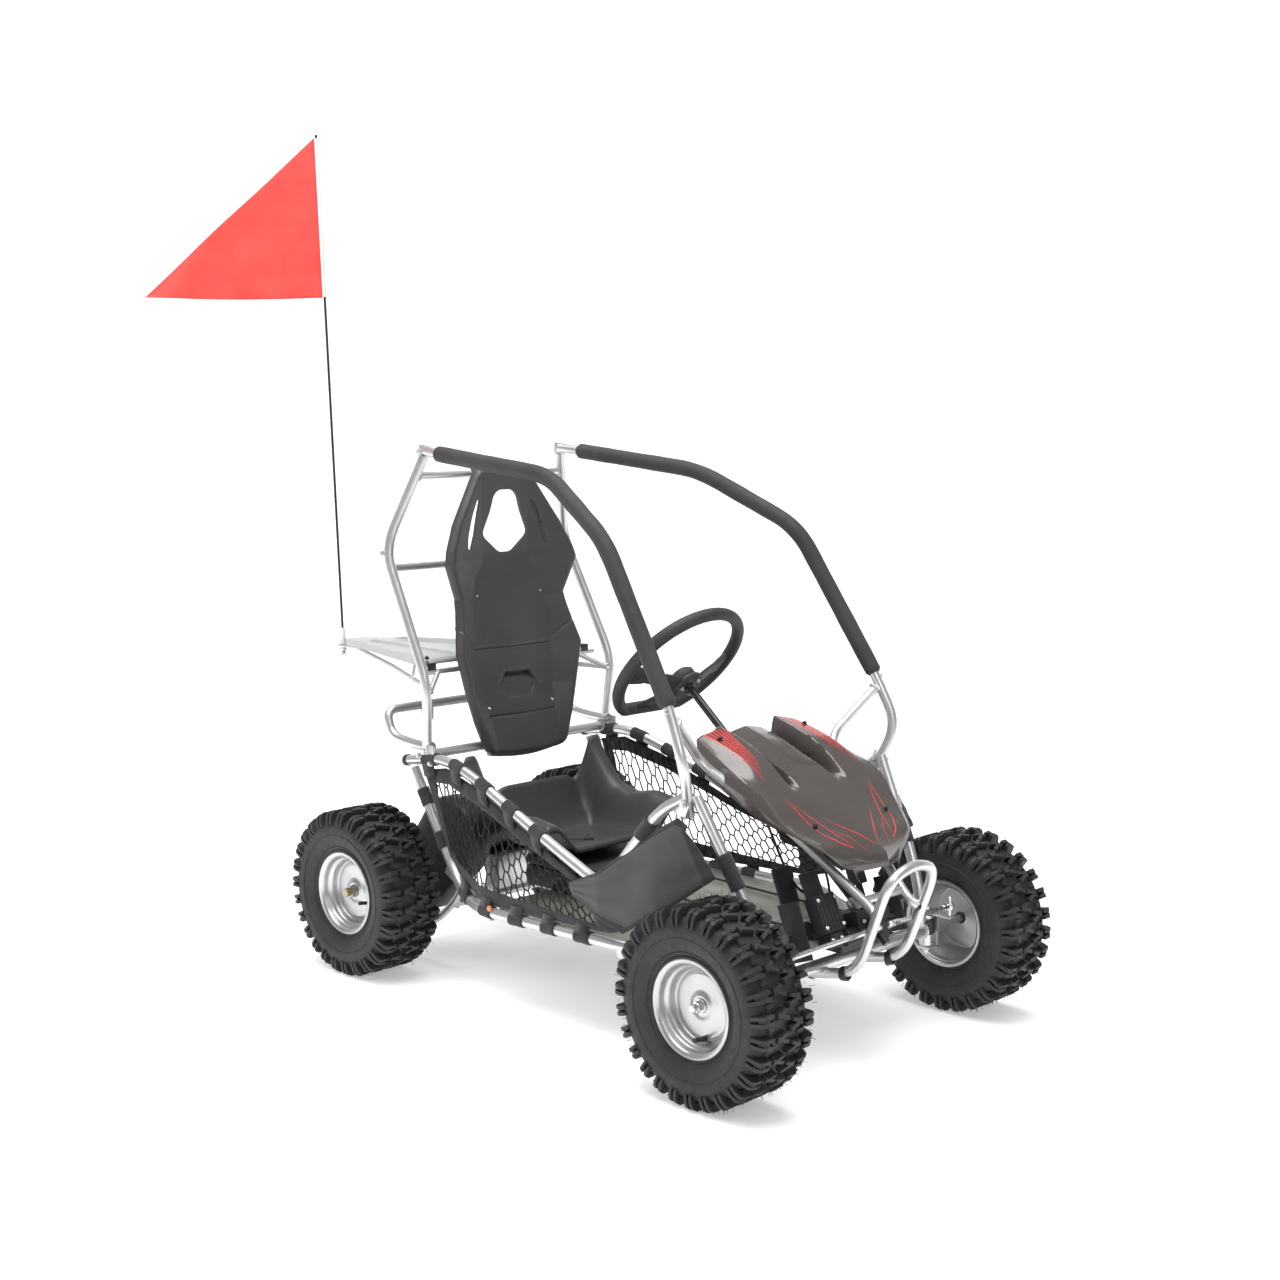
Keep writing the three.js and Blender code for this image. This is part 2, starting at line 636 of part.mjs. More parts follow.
// ---------------------------------------------------------------- cowl
const cowlHalf = [[-252, 132], [-190, 162], [-80, 182], [0, 160], [46, 126], [78, 94], [102, 84]];
const cowlTop = [[-252, 587], [-90, 518], [0, 460], [78, 412], [102, 392]];
const COWL_THICKNESS = 3;
const crease = 0.86;
const cowlAcross = [[0, -1], [1 / 6, -crease], [5 / 6, crease], [1, 1]];
function cowlShell(u, v) {
  const across = through(cowlAcross, v);
  const reach = Math.abs(across);
  const nose = 102 - 24 * Math.min(reach / crease, 1) ** 2;
  const x = -252 + (nose + 252) * u;
  const half = through(cowlHalf, x) * (1 - 0.12 * u * u);
  const skirt = Math.max(0, reach - crease) / (1 - crease);
  const drop = skirt * (42 - 22 * u);
  const y = Math.sign(across) * (half * Math.min(reach / crease, 1) + 3 * skirt);
  return [x, y, through(cowlTop, x) - drop];
}
const cowlHoles = SIDES.map(([, s]) => tube(side(NOSE_RAIL, s), STRUT_RADIUS + 3, { bend: 35 }));
const columnSlot = alongColumn(150, 420, COLUMN_RADIUS + 8);
fixed(
  "cowl",
  (grow) => {
    const whole = sheet(7, 6, COWL_THICKNESS + 2 * grow, cowlShell);
    return grow > 0 ? whole : whole.subtract(join(cowlHoles, columnSlot));
  },
  gloss(),
);

// ---------------------------------------------------------------- rear shelf and flag
const shelfEdge = 0.9;
const shelfAcross = [[0, -1], [0.25, -shelfEdge], [0.75, shelfEdge], [1, 1]];
function shelfPlate(u, v) {
  const across = through(shelfAcross, v);
  const half = 236 - 204 * u;
  const fold = Math.max(0, Math.abs(across) - shelfEdge) / (1 - shelfEdge);
  return [-964 - 541 * u, Math.sign(across) * (half * Math.min(Math.abs(across) / shelfEdge, 1) + fold),
    678 - 18 * u - 15 * fold];
}
fixed("rear_shelf", (grow) => sheet(2, 4, 2 + 2 * grow, shelfPlate), greySheet());

fixed(
  "shelf_frame",
  (grow) =>
    join(
      rod([-946, -256, 654], [-946, 256, 654], 6 + grow, 8),
      SIDES.map(([, s]) =>
        join(
          tubeShape(side([[-908, 258, 622], [-1200, 130, 632], [-1484, 16, 638]], s), 6, { bend: 20 })(grow),
          rod([-908, s * 258, 622], [-946, s * 206, 654], 6 + grow, 8),
        ),
      ),
      box(grown([92, 34, 4], grow), [-1524, 0, 638]),
      rod([-1559, 0, 628 - grow], [-1559, 0, 650 + grow], 9 + grow, 12),
    ),
  zinc(),
);

const poleDown = vec(POLE_BASE).sub(vec(POLE_TOP)).normalize();
const onPole = (fromTop) => vec(POLE_TOP).addScaledVector(poleDown, fromTop).toArray();
fixed("flag_pole", (grow) => rod(onPole(-grow), POLE_BASE, POLE_RADIUS + grow, 8), fibre());

const flyWay = new THREE.Vector3(-0.716, -0.698, 0).normalize();
const FLAG_TOP = 6;
function flagSheet(u, v) {
  const start = vec(onPole(FLAG_TOP + FLAG_HOIST * (1 - v * (1 - 0.985 * u))));
  return start.addScaledVector(flyWay, POLE_RADIUS + 1.5 + FLAG_FLY * u).toArray();
}
const flagSleeve = rod(onPole(FLAG_TOP), onPole(FLAG_TOP + FLAG_HOIST), POLE_RADIUS + 2.5, 8);
const poleHole = rod(onPole(-20), onPole(FLAG_TOP + FLAG_HOIST + 20), POLE_RADIUS + 0.5, 8);
add("flag", sheet(3, 1, 3, flagSheet).add(flagSleeve).subtract(poleHole), flagRed());

// ---------------------------------------------------------------- side guards
const guardTop = [
  [0, [-925, 262, 448]], [0.12, [-850, 264, 460]], [0.28, [-738, 273, 432]], [0.52, [-537, 289, 354]],
  [0.76, [-345, 314, 292]], [0.82, [-300, 314, 312]], [1, [-158, 308, 438]],
];
const guardBottom = [
  [0, [-856, 256, 286]], [0.12, [-806, 262, 238]], [0.28, [-700, 298, 214]], [0.52, [-500, 300, 218]],
  [0.76, [-330, 303, 224]], [0.82, [-264, 304, 243]], [1, [-84, 286, 356]],
];
for (const [name, s] of SIDES) {
  const surface = (u, v) => {
    const low = through(guardBottom, u);
    const high = through(guardTop, u);
    return low.map((value, i) => (i === 1 ? s : 1) * (value + v * (high[i] - value)));
  };
  fixed(`side_net_${name}`, (grow) => sheet(10, 1, 3 + 2 * grow, surface), mesh());
}

// ---------------------------------------------------------------- origin: below the middle of the box
const bounds = new THREE.Box3().setFromObject(kart);
const middle = bounds.getCenter(new THREE.Vector3());
kart.position.set(-middle.x, -middle.y, -bounds.min.z);

export default kart;
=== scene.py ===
"""A small off-road electric kart with a tube cage: its looks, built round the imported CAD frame.
Metres. Points are written from the front axle (x = 0) and place() moves them into the row frame."""

import math

import bmesh
import bpy
import numpy as np
from mathutils import Matrix, Vector
from mathutils.bvhtree import BVHTree


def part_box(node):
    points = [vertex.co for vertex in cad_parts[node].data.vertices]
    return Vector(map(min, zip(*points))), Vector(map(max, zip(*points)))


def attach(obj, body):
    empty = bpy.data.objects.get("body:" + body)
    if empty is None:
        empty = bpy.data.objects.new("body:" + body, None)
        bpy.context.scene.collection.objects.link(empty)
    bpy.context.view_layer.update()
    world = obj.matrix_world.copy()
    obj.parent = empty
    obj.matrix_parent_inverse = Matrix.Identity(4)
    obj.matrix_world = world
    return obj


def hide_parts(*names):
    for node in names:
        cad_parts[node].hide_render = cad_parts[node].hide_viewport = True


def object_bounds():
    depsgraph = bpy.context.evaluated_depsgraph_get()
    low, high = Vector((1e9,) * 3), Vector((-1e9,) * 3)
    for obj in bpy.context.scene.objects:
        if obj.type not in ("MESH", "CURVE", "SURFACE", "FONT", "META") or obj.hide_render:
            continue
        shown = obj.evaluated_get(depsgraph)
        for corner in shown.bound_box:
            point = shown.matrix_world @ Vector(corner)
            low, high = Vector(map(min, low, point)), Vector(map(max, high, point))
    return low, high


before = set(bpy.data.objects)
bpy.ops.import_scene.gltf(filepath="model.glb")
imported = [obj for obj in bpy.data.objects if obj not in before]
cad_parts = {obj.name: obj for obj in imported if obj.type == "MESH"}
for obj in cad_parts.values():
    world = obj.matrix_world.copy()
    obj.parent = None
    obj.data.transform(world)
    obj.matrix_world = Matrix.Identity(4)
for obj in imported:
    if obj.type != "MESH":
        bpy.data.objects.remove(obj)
cad_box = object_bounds()
rim_low, rim_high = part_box("rim_front_right")
FRONT = (rim_low.x + rim_high.x) / 2
SIDES = (("right", -1), ("left", 1))
scene = bpy.context.scene
turn = np.random.default_rng(7)


def place(points):
    return np.asarray(points, float) + np.array([FRONT, 0, 0])


def mirrored(points, s):
    return np.asarray(points, float) * np.array([1, s, 1])


# ---------------------------------------------------------------- camera
camera = bpy.data.objects.new("camera", bpy.data.cameras.new("camera"))
scene.collection.objects.link(camera)
scene.camera = camera
camera.data.lens = 51.6
camera.data.sensor_width = 36
camera.data.clip_end = 200
YAW, PITCH = math.radians(134.29), math.radians(7.11)
camera.location = place((2.081, -2.690, 1.207))
ahead = Vector((math.cos(YAW) * math.cos(PITCH), math.sin(YAW) * math.cos(PITCH), -math.sin(PITCH)))
camera.rotation_mode = "QUATERNION"
camera.rotation_quaternion = ahead.to_track_quat("-Z", "Y")


# ---------------------------------------------------------------- materials
def new_material(name):
    material = bpy.data.materials.new(name)
    material.use_nodes = True
    tree = material.node_tree
    tree.nodes.clear()
    out = tree.nodes.new("ShaderNodeOutputMaterial")
    shader = tree.nodes.new("ShaderNodeBsdfPrincipled")
    tree.links.new(shader.outputs[0], out.inputs[0])
    return material, tree, shader


def noise(tree, scale, detail=4.0, rough=0.55, stretch=None):
    where = tree.nodes.new("ShaderNodeTexCoord")
    made = tree.nodes.new("ShaderNodeTexNoise")
    made.inputs["Scale"].default_value = scale
    made.inputs["Detail"].default_value = detail
    made.inputs["Roughness"].default_value = rough
    if stretch:
        mapping = tree.nodes.new("ShaderNodeMapping")
        mapping.inputs["Scale"].default_value = stretch
        tree.links.new(where.outputs["Object"], mapping.inputs[0])
        tree.links.new(mapping.outputs[0], made.inputs["Vector"])
    else:
        tree.links.new(where.outputs["Object"], made.inputs["Vector"])
    return made


def ramp(tree, source, stops):
    made = tree.nodes.new("ShaderNodeValToRGB")
    while len(made.color_ramp.elements) < len(stops):
        made.color_ramp.elements.new(0.5)
    for element, (where, color) in zip(made.color_ramp.elements, stops):
        element.position = where
        element.color = (*color, 1)
    tree.links.new(source, made.inputs[0])
    return made


def grey(value):
    return (value, value, value)


def bump(tree, shader, source, strength, distance):
    made = tree.nodes.new("ShaderNodeBump")
    made.inputs["Strength"].default_value = strength
    made.inputs["Distance"].default_value = distance
    tree.links.new(source, made.inputs["Height"])
    tree.links.new(made.outputs[0], shader.inputs["Normal"])
    return made


def look(
    name, dark, light, rough, metal=0.0, patch=9.0, grain=0.0, depth=0.0002, coat=0.0, sheen=0.0,
    stretch=None,
):
    """Colour drifts from dark to light in patches, roughness between two values, under a fine grain."""
    material, tree, shader = new_material(name)
    shader.inputs["Metallic"].default_value = metal
    shader.inputs["Coat Weight"].default_value = coat
    shader.inputs["Coat Roughness"].default_value = 0.06
    shader.inputs["Sheen Weight"].default_value = sheen
    drift = noise(tree, patch, 5.0, stretch=stretch)
    color = ramp(tree, drift.outputs["Fac"], [(0.3, dark), (0.7, light)])
    tree.links.new(color.outputs[0], shader.inputs["Base Color"])
    marks = noise(tree, patch * 6, 6.0, 0.65)
    rougher = ramp(tree, marks.outputs["Fac"], [(0.25, grey(rough[0])), (0.75, grey(rough[1]))])
    tree.links.new(rougher.outputs[0], shader.inputs["Roughness"])
    if grain:
        fine = noise(tree, grain, 2.0)
        bump(tree, shader, fine.outputs["Fac"], 0.5, depth)
    return material


def woven(name, dark, light, scale, rough=0.9):
    """Plain weave: two crossed sets of waves raise the threads."""
    material, tree, shader = new_material(name)
    shader.inputs["Sheen Weight"].default_value = 0.15
    shader.inputs["Roughness"].default_value = rough
    where = tree.nodes.new("ShaderNodeTexCoord")
    total = tree.nodes.new("ShaderNodeMath")
    total.operation = "ADD"
    for slot, direction in enumerate(("X", "Z")):
        wave = tree.nodes.new("ShaderNodeTexWave")
        wave.bands_direction = direction
        wave.inputs["Scale"].default_value = scale
        wave.inputs["Distortion"].default_value = 0.6
        tree.links.new(where.outputs["Object"], wave.inputs["Vector"])
        tree.links.new(wave.outputs["Fac"], total.inputs[slot])
    patch = noise(tree, 14.0, 4.0)
    color = ramp(tree, patch.outputs["Fac"], [(0.3, dark), (0.7, light)])
    tree.links.new(color.outputs[0], shader.inputs["Base Color"])
    bump(tree, shader, total.outputs[0], 0.35, 0.0003)
    return material


ZINC = look("zinc_tube", grey(0.60), (0.72, 0.72, 0.73), (0.26, 0.38), 0.85, 7.0)
WELD = look("weld_bead", grey(0.42), grey(0.66), (0.35, 0.6), 0.85, 60.0, 500, 0.0004)
RIM = look("rim_zinc", (0.48, 0.485, 0.49), (0.58, 0.58, 0.59), (0.30, 0.40), 0.9, 9.0)
STEEL = look("bare_steel", grey(0.35), grey(0.52), (0.25, 0.45), 0.95, 20.0, 800, 0.00005)
BOLT = look("bolt_zinc", grey(0.6), grey(0.78), (0.2, 0.35), 0.95, 40.0)
YELLOW = look("yellow_zinc", (0.33, 0.27, 0.15), (0.46, 0.39, 0.25), (0.25, 0.4), 0.9, 30.0)
TYRE = look("tyre_rubber", grey(0.012), (0.026, 0.025, 0.025), (0.50, 0.75), 0.0, 16.0, 420, 0.0003)
FOAM = look("foam", (0.026, 0.025, 0.025), (0.040, 0.038, 0.038), (0.62, 0.8), 0.0, 10.0, 700, 0.0003)
SEAT = look(
    "seat_plastic", (0.038, 0.036, 0.037), (0.054, 0.051, 0.052), (0.38, 0.52), 0.0, 5.0, 1400, 0.00012,
)
PLASTIC = look("black_plastic", grey(0.018), grey(0.03), (0.4, 0.6), 0.0, 8.0, 900, 0.0001)
GRIP = look("grip", grey(0.022), grey(0.034), (0.55, 0.72), 0.0, 12.0, 1300, 0.0002)
COWL = look("cowl_gloss", (0.070, 0.060, 0.056), (0.088, 0.077, 0.072), (0.22, 0.3), 0.1, 3.0, 0, coat=0.5)
RED = look("red_film", (0.75, 0.035, 0.035), (0.88, 0.06, 0.05), (0.2, 0.35), 0.0, 20.0, coat=0.6)
PAINT = look("black_paint", grey(0.012), grey(0.022), (0.25, 0.45), 0.2, 12.0, 500, 0.00008, coat=0.2)
# The floor sheet's own grey-brown, darkened further as painted shade for the shadow the floor pan lies in
# under the seat and cowl.
FLOOR_SHEET_SHADED = look(
    "floor_sheet_painted_shade", (0.20, 0.19, 0.17), (0.33, 0.32, 0.29), (0.30, 0.5), 0.6, 14.0, 120, 0.0003,
)
ORANGE = look("reflector_orange", (0.45, 0.13, 0.04), (0.60, 0.20, 0.07), (0.15, 0.25), 0.0, 30.0, coat=0.8)
PALE = look("pale_sheet", (0.42, 0.43, 0.44), (0.52, 0.53, 0.54), (0.35, 0.5), 0.5, 9.0, 300, 0.0001)
NET = look("net_cord", (0.010, 0.009, 0.008), (0.024, 0.021, 0.020), (0.8, 0.95), 0.0, 60.0, 1500, 0.0003)
WEB = woven("webbing", (0.020, 0.018, 0.018), (0.034, 0.031, 0.031), 160)
PANEL = woven("leg_panel_cloth", (0.034, 0.035, 0.035), (0.052, 0.053, 0.053), 260, 0.62)
CLOTH = woven("flag_cloth", (0.83, 0.045, 0.038), (0.93, 0.075, 0.06), 420, 0.75)
WHITE = woven("white_tape", grey(0.62), grey(0.78), 300, 0.7)
FIBRE = look("fibreglass", grey(0.012), grey(0.025), (0.2, 0.35), 0.0, 30.0)


# ---------------------------------------------------------------- shapes
EDGE_THICK = 0.002


class Shape:
    """Vertices and faces gathered from several simple forms, made into one piece at the end."""

    def __init__(self):
        self.points, self.faces, self.count = [], [], 0

    def add(self, points, faces):
        self.points.append(np.asarray(points, float))
        self.faces += [[i + self.count for i in face] for face in faces]
        self.count += len(points)
        return self

    def make(self, name, material, body="frame", instead=(), slot=None, sharp=38, moved=True):
        data = bpy.data.meshes.new(name)
        points = np.concatenate(self.points)
        data.from_pydata((place(points) if moved else points).tolist(), [], self.faces)
        data.validate()
        data.shade_smooth()
        if sharp:
            data.set_sharp_from_angle(angle=math.radians(sharp))
        piece = bpy.data.objects.new(name, data)
        scene.collection.objects.link(piece)
        data.materials.append(material)
        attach(piece, body)
        if instead:
            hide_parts(*instead)
        return piece


def rounded(points, bend=0.045, steps=7):
    line = np.asarray(points, float)
    out = [line[0]]
    for i in range(1, len(line) - 1):
        back, on = line[i - 1] - line[i], line[i + 1] - line[i]
        reach = min(bend, 0.45 * np.linalg.norm(back)), min(bend, 0.45 * np.linalg.norm(on))
        start = line[i] + back / np.linalg.norm(back) * reach[0]
        end = line[i] + on / np.linalg.norm(on) * reach[1]
        for t in np.linspace(0, 1, steps):
            out.append((1 - t) ** 2 * start + 2 * t * (1 - t) * line[i] + t * t * end)
    out.append(line[-1])
    return np.array(out)


def run_along(line):
    """The distance run at each point of a line."""
    return np.concatenate([[0], np.cumsum(np.linalg.norm(np.diff(line, axis=0), axis=1))])


def at_runs(line, run, stops):
    """The points of a line at the given distances run."""
    return np.stack([np.interp(stops, run, line[:, i]) for i in range(line.shape[1])], 1)


def walls(count, rows):
    """The faces between rows of closed outlines of count points."""
    return [
        [i * count + j, i * count + (j + 1) % count, (i + 1) * count + (j + 1) % count, (i + 1) * count + j]
        for i in range(rows - 1)
        for j in range(count)
    ]


def frames(line, up=None):
    """Tangent, first and second normals along a line, carried without twist, or held to `up`."""
    steps = np.diff(line, axis=0)
    steps /= np.linalg.norm(steps, axis=1)[:, None]
    tangent = np.vstack([steps[:1], steps[:-1] + steps[1:], steps[-1:]])
    tangent /= np.linalg.norm(tangent, axis=1)[:, None]
    first = np.zeros_like(tangent)
    seed = np.array(up if up is not None else ([0, 0, 1] if abs(tangent[0][2]) < 0.9 else [1, 0, 0]), float)
    for i, t in enumerate(tangent):
        seed = seed - t * (seed @ t)
        seed /= np.linalg.norm(seed)
        first[i] = seed
        if up is not None:
            seed = np.array(up, float)
    return tangent, first, np.cross(tangent, first)


def sweep(line, section, caps=True, scale=None, up=None, closed=False):
    """Carries a closed section, a list of (a, b) offsets, along a line."""
    line = np.asarray(line, float)
    section = np.asarray(section, float)
    _, a, b = frames(line, up)
    n, k = len(line), len(section)
    grow = np.ones(n) if scale is None else np.asarray(scale, float)
    points = (
        line[:, None]
        + (section[None, :, 0] * grow[:, None])[..., None] * a[:, None]
        + (section[None, :, 1] * grow[:, None])[..., None] * b[:, None]
    ).reshape(-1, 3)
    last = n if closed else n - 1
    faces = [
        [i * k + j, i * k + (j + 1) % k, ((i + 1) % n) * k + (j + 1) % k, ((i + 1) % n) * k + j]
        for i in range(last)
        for j in range(k)
    ]
    if caps and not closed:
        faces += [list(range(k))[::-1], [(n - 1) * k + j for j in range(k)]]
    return points, faces


def ring(radius, sides=18, squeeze=1.0):
    angle = np.arange(sides) * 2 * math.pi / sides
    return np.stack([radius * np.cos(angle), radius * squeeze * np.sin(angle)], 1)


def tube(points, radius, bend=0.045, sides=18, steps=7):
    return sweep(rounded(points, bend, steps), ring(radius, sides))


def block(size, centre, pitch=0.0, yaw=0.0, roll=0.0, edge=0.0015):
    """A box with bevelled edges, turned about its own centre."""
    grid = bmesh.new()
    bmesh.ops.create_cube(grid, size=1.0)
    bmesh.ops.scale(grid, vec=size, verts=grid.verts)
    if edge:
        bmesh.ops.bevel(grid, geom=grid.edges[:], offset=edge, segments=2, affect="EDGES", profile=0.6)
    turned = Matrix.Rotation(yaw, 3, "Z") @ Matrix.Rotation(pitch, 3, "Y") @ Matrix.Rotation(roll, 3, "X")
    grid.verts.index_update()
    points = [np.array(turned @ v.co) + np.asarray(centre, float) for v in grid.verts]
    faces = [[v.index for v in f.verts] for f in grid.faces]
    grid.free()
    return points, faces


def lathe(profile, centre, axis=(0, 1, 0), segments=64, closed=True):
    """Turns a profile of (radius, along) points about an axis."""
    axis = Vector(axis).normalized()
    a = axis.orthogonal().normalized()
    b = axis.cross(a)
    profile = np.asarray(profile, float)
    k = len(profile)
    points, faces = [], []
    for i in range(segments):
        angle = 2 * math.pi * i / segments
        out = np.array(a) * math.cos(angle) + np.array(b) * math.sin(angle)
        points += [np.asarray(centre) + out * r + np.array(axis) * along for r, along in profile]
    for i in range(segments):
        for j in range(k if closed else k - 1):
            faces.append(
                [
                    i * k + j, i * k + (j + 1) % k, ((i + 1) % segments) * k + (j + 1) % k,
                    ((i + 1) % segments) * k + j,
                ]
            )
    return points, faces


def collar(bore, lip, radius, half, flat):
    """A ring's profile: full radius over its flat, down to the lip at both ends."""
    return [(bore, -half), (lip, -half), (radius, -flat), (radius, flat), (lip, half), (bore, half)]


def flat_bar(half, thick):
    """A bar's section with thinner edges."""
    right = [(0.8, -thick), (1, -EDGE_THICK), (1, EDGE_THICK), (0.8, thick)]
    section = [(-1, -EDGE_THICK), (-0.8, -thick)] + right + [(-0.8, thick), (-1, EDGE_THICK)]
    return [(x * half, y) for x, y in section]


def disc(radius, thick, centre, axis, segments=24, edge=0.0008):
    half = thick / 2
    profile = [
        (0.0001, -half), (radius - edge, -half), (radius, edge - half), (radius, half - edge),
        (radius - edge, half), (0.0001, half),
    ]
    return lathe(profile, centre, axis, segments)


def bolt(shape, centre, axis, size=0.006, washer=True):
    """A hexagon head on a washer, with its thread's end showing."""
    axis = np.array(Vector(axis).normalized())
    centre = np.asarray(centre, float)
    if washer:
        shape.add(*disc(size * 1.05, 0.0014, centre, axis, 20, 0.0003))
    shape.add(*disc(size * 0.86, size * 0.8, centre + axis * size * 0.45, axis, 6, 0.0006))
    shape.add(*disc(size * 0.42, size * 0.5, centre + axis * size * 0.95, axis, 12, 0.0004))


def bead(shape, centre, axis, radius, thick=0.0028):
    """A weld bead round a tube: a ring of overlapping scales."""
    axis = Vector(axis).normalized()
    a = np.array(axis.orthogonal().normalized())
    b = np.cross(np.array(axis), a)
    angle = np.linspace(0, 2 * math.pi, 49)[:-1]
    line = np.asarray(centre) + radius * (np.cos(angle)[:, None] * a + np.sin(angle)[:, None] * b)
    shape.add(*sweep(line, ring(thick, 7), scale=0.82 + 0.3 * np.abs(np.sin(angle * 8)), closed=True))


def grid_piece(surface, nu, nv, keep=None):
    """Points and faces of surface(u, v); keep(u, v) tells which cells stay."""
    points = [surface(u / nu, v / nv) for u in range(nu + 1) for v in range(nv + 1)]
    faces = [
        [u * (nv + 1) + v, (u + 1) * (nv + 1) + v, (u + 1) * (nv + 1) + v + 1, u * (nv + 1) + v + 1]
        for u in range(nu)
        for v in range(nv)
        if keep is None or keep((u + 0.5) / nu, (v + 0.5) / nv)
    ]
    return points, faces


def thicken(piece, thick, offset=0.0):
    solid = piece.modifiers.new("thickness", "SOLIDIFY")
    solid.thickness = thick
    solid.offset = offset


def level(knots, key):
    """The height over key of a line through (key, height) knots."""
    return np.interp(key, *zip(*knots))


def through(knots, key):
    """The point over key of a line through (key, point) knots."""
    keys = [k for k, _ in knots]
    return np.array([np.interp(key, keys, [v[i] for _, v in knots]) for i in range(len(knots[0][1]))])


# ---------------------------------------------------------------- centre lines (left side)
SIDE_RAIL = [
    (-0.979, 0.264, 0.465), (-0.850, 0.266, 0.484), (-0.738, 0.275, 0.454), (-0.537, 0.290, 0.377),
    (-0.330, 0.318, 0.314), (-0.190, 0.312, 0.482), (-0.142, 0.290, 0.512),
]
LOWER_RAIL = [
    (-0.964, 0.260, 0.450), (-0.839, 0.252, 0.232), (-0.760, 0.285, 0.200), (-0.686, 0.300, 0.194),
    (-0.303, 0.300, 0.202), (-0.190, 0.245, 0.190), (-0.008, 0.214, 0.182),
]
CAGE_UPRIGHT = [
    (-0.993, 0.198, 1.112), (-1.049, 0.263, 0.915), (-0.902, 0.273, 0.639), (-0.916, 0.264, 0.486),
]
ROOF_TUBE = [
    (-0.994, 0.198, 1.124), (-0.938, 0.207, 1.118), (-0.581, 0.219, 1.081), (-0.360, 0.283, 0.966),
    (-0.172, 0.307, 0.675), (-0.122, 0.319, 0.572), (-0.150, 0.274, 0.474),
]
FRONT_POST = [(-0.130, 0.277, 0.512), (-0.032, 0.253, 0.327), (0.002, 0.238, 0.252), (0.004, 0.234, 0.190)]
NOSE_RAIL = [
    (-0.162, 0.298, 0.648), (-0.196, 0.194, 0.554), (-0.047, 0.100, 0.428), (0.104, 0.054, 0.302),
    (0.120, 0.066, 0.290),
]
HOOP_ARM = [(-0.905, 0.262, 0.500), (-0.965, 0.262, 0.502), (-1.036, 0.262, 0.510), (-1.056, 0.262, 0.564)]
BUMPER_HALF = [(-0.022, 0.070, 0.160), (0.083, 0.070, 0.181), (0.153, 0.073, 0.367), (0.157, 0.0, 0.388)]
GUARD_HALF = [(-0.834, 0.226, 0.226), (-0.905, 0.206, 0.150), (-0.985, 0.200, 0.090), (-1.132, 0.194, 0.090)]
AXLE_Z = 0.180
REAR_X = -1.057


def loop(half):
    return np.vstack([mirrored(half, -1), np.asarray(half)[::-1]])


# ---------------------------------------------------------------- frame tubes
for name, s in SIDES:
    for kind, line, radius, bend in (
        ("side_rail", SIDE_RAIL, 0.011, 0.05),
        ("lower_rail", LOWER_RAIL, 0.011, 0.05),
        ("roof_tube", ROOF_TUBE, 0.0105, 0.045),
        ("front_post", FRONT_POST, 0.011, 0.04),
        ("nose_rail", NOSE_RAIL, 0.009, 0.035),
    ):
        shape = Shape().add(*tube(mirrored(line, s), radius, bend))
        if kind == "roof_tube":
            end = np.array([-0.994, s * 0.198, 1.118])
            shape.add(*block((0.034, 0.006, 0.026), end + (0.002, 0, 0.004), pitch=0.1))
            bolt(shape, end + (0.0, s * 0.012, 0.004), (0, s, 0), 0.0065)
        shape.make(f"{kind}_tube_{name}", ZINC, instead=[f"{kind}_{name}"], slot="zinc_tube")

bumper = Shape().add(*tube(loop(BUMPER_HALF)[[0, 1, 2, 3, 5, 6, 7]], 0.010, 0.05))
bumper.make("bumper_tube", ZINC, instead=["front_bumper"], slot="zinc_tube")

cage = Shape()
for name, s in SIDES:
    cage.add(*tube(mirrored(CAGE_UPRIGHT, s), 0.0105, 0.05))
    cage.add(
        *tube(
            [
                (-0.922, s * 0.080, 0.486), (-0.950, s * 0.080, 0.600), (-0.990, s * 0.080, 0.830),
                (-1.040, s * 0.080, 0.871),
            ],
            0.005, 0.03, 12,
        )
    )
cage.add(*tube([(-1.004, -0.206, 1.070), (-1.004, 0.206, 1.070)], 0.008))
cage.add(*tube([(-1.040, -0.262, 0.873), (-1.040, 0.262, 0.873)], 0.008))
cage.add(*tube([(-0.917, -0.266, 0.484), (-0.917, 0.266, 0.484)], 0.010))
cage.make("cage_tubes", ZINC, instead=["rear_cage"], slot="zinc_tube")

hoop = Shape().add(*tube(loop(HOOP_ARM), 0.010, 0.03))
hoop.make("hoop_tube", ZINC, instead=["rear_hoop"], slot="zinc_tube")

for name, x, z in (("rear", -0.686, 0.184), ("front", -0.303, 0.188)):
    Shape().add(*tube([(x, -0.300, z), (x, 0.300, z)], 0.010)).make(
        f"crossmember_tube_{name}", ZINC, instead=[f"crossmember_{name}"], slot="zinc_tube"
    )

beam = Shape().add(*tube([(0, -0.262, AXLE_Z), (0, 0.262, AXLE_Z)], 0.013))
for _, s in SIDES:
    beam.add(*disc(0.014, 0.064, (0, s * 0.262, AXLE_Z), (0, 0, 1), 28, 0.002))
    bead(beam, (0, s * 0.249, AXLE_Z), (0, 1, 0), 0.0135)
beam.make("axle_beam_tube", ZINC, instead=["front_axle_beam"], slot="zinc_tube")

